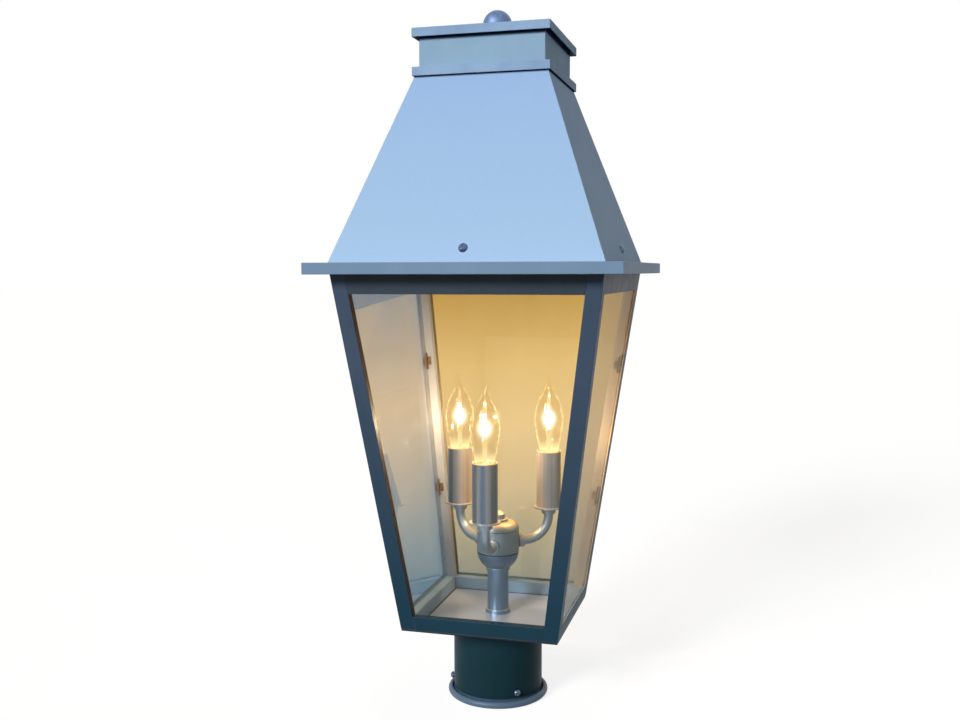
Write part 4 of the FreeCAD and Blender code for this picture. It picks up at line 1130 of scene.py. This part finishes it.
@dataclass
class CandleLamp:
    """A lit candle lamp: clear glass with a drawn tip, a glass stem and a coiled filament."""

    arm: str
    lean: Lean
    neck_radius: float = 5.6 * MM
    foot_radius: float = 9.0 * MM
    foot_rise: float = 13.0 * MM
    belly_radius: float = 13.0 * MM
    belly_rise: float = 40.0 * MM
    shoulder_radius: float = 9.3 * MM
    shoulder_rise: float = 56.0 * MM
    throat_radius: float = 4.1 * MM
    throat_rise: float = 65.0 * MM
    tip_radius: float = 1.1 * MM
    rings: int = 48
    around: int = 40
    coil_levels: Pair = (241.7 * MM, 256.7 * MM)
    coil_radius: float = 2.3 * MM
    coil_turns: int = 7
    coil_steps: int = 14
    coil_taper: float = 0.45
    wire_radius: float = 0.42 * MM
    wire_around: int = 8
    wire_drop: float = 6.0 * MM
    stem_gap: float = 0.8 * MM
    stem_rise: float = 2.0 * MM
    stem_radius: float = 2.6 * MM
    stem_drop: float = 4.0 * MM
    waist_drop: float = 3.0 * MM
    waist_share: float = 0.8
    crown_rise: float = 1.5 * MM
    crown_radius: float = 0.6 * MM
    stem_rows: int = 24
    stem_around: int = 20
    light_power: float = 0.75
    light_radius: float = 1.0 * MM
    light_colour: Point = (1.0, 0.80, 0.56)
    axis: Vector = field(init=False)
    cap_top: float = field(init=False)
    top: float = field(init=False)

    def __post_init__(self) -> None:
        """Read the lamp's place from its metal cap and its glass."""
        low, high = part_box(f"bulb_base_{self.arm}")
        self.axis = Vector(((low.x + high.x) / 2.0, (low.y + high.y) / 2.0, 0.0))
        self.cap_top = high.z
        self.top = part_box(f"bulb_glass_{self.arm}")[1].z

    def at(self, level: float) -> Vector:
        """Point on the lamp's axis at a level."""
        return self.axis + Vector((0.0, 0.0, level))

    def outline(self) -> list[Pair]:
        """Measure the glass.

        Returns:
            Levels of the glass and its radius at each.
        """
        return [(self.cap_top - self.neck_radius, self.neck_radius), (self.cap_top, self.neck_radius),
                (self.cap_top + self.foot_rise, self.foot_radius),
                (self.cap_top + self.belly_rise, self.belly_radius),
                (self.cap_top + self.shoulder_rise, self.shoulder_radius),
                (self.cap_top + self.throat_rise, self.throat_radius), (self.top, self.tip_radius)]

    def build_glass(self, glass: Finish) -> Object:
        """Blow the glass: one skin whose tip is drawn to a side.

        Args:
            glass: Finish of the glass.

        Returns:
            The piece, on its body.
        """
        corners = self.outline()
        low = corners[0][0]
        bend_start = self.cap_top + self.shoulder_rise
        rings = []
        for row in range(self.rings + 1):
            level = low + (self.top - low) * row / self.rings
            past = max(0.0, (level - bend_start) / (self.top - bend_start))
            centre = self.at(level) + Vector((*self.lean.value, 0.0)) * past ** 2
            rings.append(level_ring(centre, smooth_between(corners, level), self.around))
        piece = new_piece(f"lamp_glass_{self.arm}", *lofted(rings), glass)
        return self.attach(piece, f"bulb_glass_{self.arm}")

    def build_filament(self, hot: Finish) -> Object:
        """Wind the filament: one wire that rises into a coil, widest at its middle.

        Args:
            hot: Finish of the wire.

        Returns:
            The piece, on its body.
        """
        low, high = self.coil_levels
        steps = self.coil_turns * self.coil_steps
        path = [self.at(low - self.wire_drop) + Vector((-self.coil_radius, 0.0, 0.0))]
        for i in range(steps + 1):
            share = i / steps
            turn = math.pi + math.tau * self.coil_turns * share
            reach = self.coil_radius * (1.0 - self.coil_taper * abs(2.0 * share - 1.0) ** 2)
            path.append(self.at(low + (high - low) * share)
                        + Vector((reach * math.cos(turn), reach * math.sin(turn), 0.0)))
        rings = tube_rings(path, self.wire_radius, self.wire_around)
        wire = new_piece(f"lamp_filament_{self.arm}", *lofted(rings), hot)
        return self.attach(wire, f"bulb_filament_{self.arm}")

    def build_stem(self, glass: Finish) -> Object:
        """Press the glass stem that the filament stands on.

        Args:
            glass: Finish of the stem.

        Returns:
            The piece, on its body.
        """
        top = self.coil_levels[0] - self.stem_drop
        outline = [(self.cap_top - self.neck_radius, self.neck_radius - self.stem_gap),
                   (self.cap_top + self.stem_rise, self.stem_radius),
                   (top - self.waist_drop, self.stem_radius * self.waist_share),
                   (top, self.stem_radius), (top + self.crown_rise, self.crown_radius)]
        start, end = outline[0][0], outline[-1][0]
        rings = []
        for row in range(self.stem_rows + 1):
            level = start + (end - start) * row / self.stem_rows
            rings.append(level_ring(self.at(level), smooth_between(outline, level), self.stem_around))
        return self.attach(new_piece(f"lamp_stem_{self.arm}", *lofted(rings), glass), None)

    def attach(self, piece: Object, node: str | None) -> Object:
        """Let a piece ride with the lamp and stand for a node of it.

        Args:
            piece: The piece.
            node: The node that it stands for, if any.

        Returns:
            The same piece.
        """
        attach(piece, f"bulb_{self.arm}")
        if node is not None:
            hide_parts(node)
        log.info("%s", piece.name)
        return piece

    def light(self) -> None:
        """Put a small warm light where the filament glows."""
        data = bpy.data.lights.new(f"lamp_light_{self.arm}", "POINT")
        data.energy = self.light_power
        data.color = self.light_colour
        data.shadow_soft_size = self.light_radius
        source = put_in_scene(data.name, data)
        source.location = self.at(sum(self.coil_levels) / 2.0)
        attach(source, f"bulb_{self.arm}")


@dataclass
class Lamps:
    """The three lamps and the finishes that they share."""

    glow_reach: float = 11.0 * MM
    glint_reach: float = 48.4 * MM
    stem_foot: float = 6.0 * MM

    def build(self) -> None:
        """Build the three lamps."""
        low, high = CandleLamp.coil_levels
        sleeve_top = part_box("candle_sleeve_front")[1].z
        # The glass carries painted light: a glow round the filament, glints along its rim and warm light at
        # the sleeve's mouth.
        glass = LampGlass(
            "lamp_glass", core=tone(255, 248, 232), warm=tone(255, 224, 164), core_level=(low + high) / 2.0,
            core_reach=self.glow_reach, core_strength=2.2, foot_level=sleeve_top, foot_reach=self.glow_reach,
            foot_strength=0.45, glint_reach=self.glint_reach, glint_strength=3.2)
        # The glass stem glows: painted lamp light, though it gives no light of its own.
        stem = HotGlow("lamp_stem_glass", heart=tone(255, 232, 176), rim=tone(255, 200, 110),
                       levels=(sleeve_top - self.stem_foot, low), strength=1.1)
        hot = HotGlow("hot_wire", heart=tone(255, 246, 224), rim=tone(255, 222, 160), levels=(low, high),
                      strength=9.0)
        for lean in Lean:
            lamp = CandleLamp(lean.name.lower(), lean)
            paint_node(f"bulb_base_{lamp.arm}", LAMP_CAP)
            lamp.build_glass(glass)
            lamp.build_filament(hot)
            lamp.build_stem(stem)
            lamp.light()


# ---------------------------------------------------------------- studio

@dataclass(frozen=True)
class SoftLight:
    """One wide soft lamp far away."""

    name: str
    comes_from: Point
    strength: float
    spread: float
    colour: Point = EVEN

    def hang(self) -> None:
        """Hang the lamp and turn it so that its light comes from that direction."""
        data = bpy.data.lights.new(self.name, "SUN")
        data.energy = self.strength
        data.angle = math.radians(self.spread)
        data.color = self.colour
        source = put_in_scene(self.name, data)
        source.rotation_euler = Vector(self.comes_from).to_track_quat("Z", "Y").to_euler()


@dataclass
class Studio:
    """Pale floor, soft light and the camera of the photograph."""

    floor_half: float = 20.0
    floor_finish: StudioWhite = StudioWhite("studio_white", body=tone(156, 156, 156), own_light=0.82)
    key_light: SoftLight = SoftLight(
        "key_light", comes_from=(-0.38, -0.86, 0.42), strength=2.75, spread=18.0)
    fill_light: SoftLight = SoftLight(
        "fill_light", comes_from=(0.72, 0.58, 0.38), strength=0.24, spread=70.0, colour=(1.0, 0.95, 0.82))
    world_colour: Colour = (1.0, 0.96, 0.9, 1.0)
    world_strength: float = 0.16
    image_width: float = 960.0
    focal_pixels: float = 1057.433
    sensor: float = 36.0
    camera_place: Point = (0.23533, -0.91172, 0.38307)
    camera_yaw: float = 15.4415
    camera_pitch: float = -4.8144
    camera_roll: float = -0.1253

    def build_floor(self) -> None:
        """Lay the floor."""
        half = self.floor_half
        corners = [Vector((x * half, y * half, 0.0)) for x, y in ((-1, -1), (1, -1), (1, 1), (-1, 1))]
        new_piece("studio_floor", corners, [(0, 1, 2, 3)], self.floor_finish)

    def build_world(self) -> None:
        """Set the even light from all round, white where it is seen."""
        recipe = Recipe(bpy.data.worlds.new("studio_world"))
        light = recipe.add("Background", {"Color": self.world_colour, "Strength": self.world_strength})
        white = recipe.add("Background", {"Color": WHITE, "Strength": 1.0})
        sky = recipe.mixed(recipe.seen_directly(), light.outputs[0], white.outputs[0])
        bpy.context.scene.world = recipe.finish(sky, "OutputWorld")

    def build_camera(self) -> None:
        """Set up the camera where the photograph was taken from."""
        data = bpy.data.cameras.new("photo_camera")
        data.sensor_width = self.sensor
        data.lens = self.focal_pixels / self.image_width * self.sensor
        camera = put_in_scene("photo_camera", data)
        yaw = Matrix.Rotation(math.radians(self.camera_yaw), 4, "Z")
        pitch = Matrix.Rotation(math.radians(90.0 + self.camera_pitch), 4, "X")
        roll = Matrix.Rotation(math.radians(self.camera_roll), 4, "Z")
        camera.matrix_world = Matrix.Translation(self.camera_place) @ yaw @ pitch @ roll
        bpy.context.scene.camera = camera

    def build(self) -> None:
        """Build the whole studio."""
        self.build_floor()
        self.build_world()
        self.key_light.hang()
        self.fill_light.hang()
        self.build_camera()
        bpy.context.scene.view_settings.view_transform = "Standard"
        log.info("studio with floor, lights and camera")


def main() -> None:
    """Dress the lantern piece by piece and build the studio round it."""
    logging.basicConfig(level=logging.INFO, format="%(name)s: %(message)s")
    Fitter().dress()
    GlazedFrame().dress()
    Roof().dress()
    Cluster().dress()
    Lamps().build()
    Studio().build()


if __name__ == "__main__":
    main()
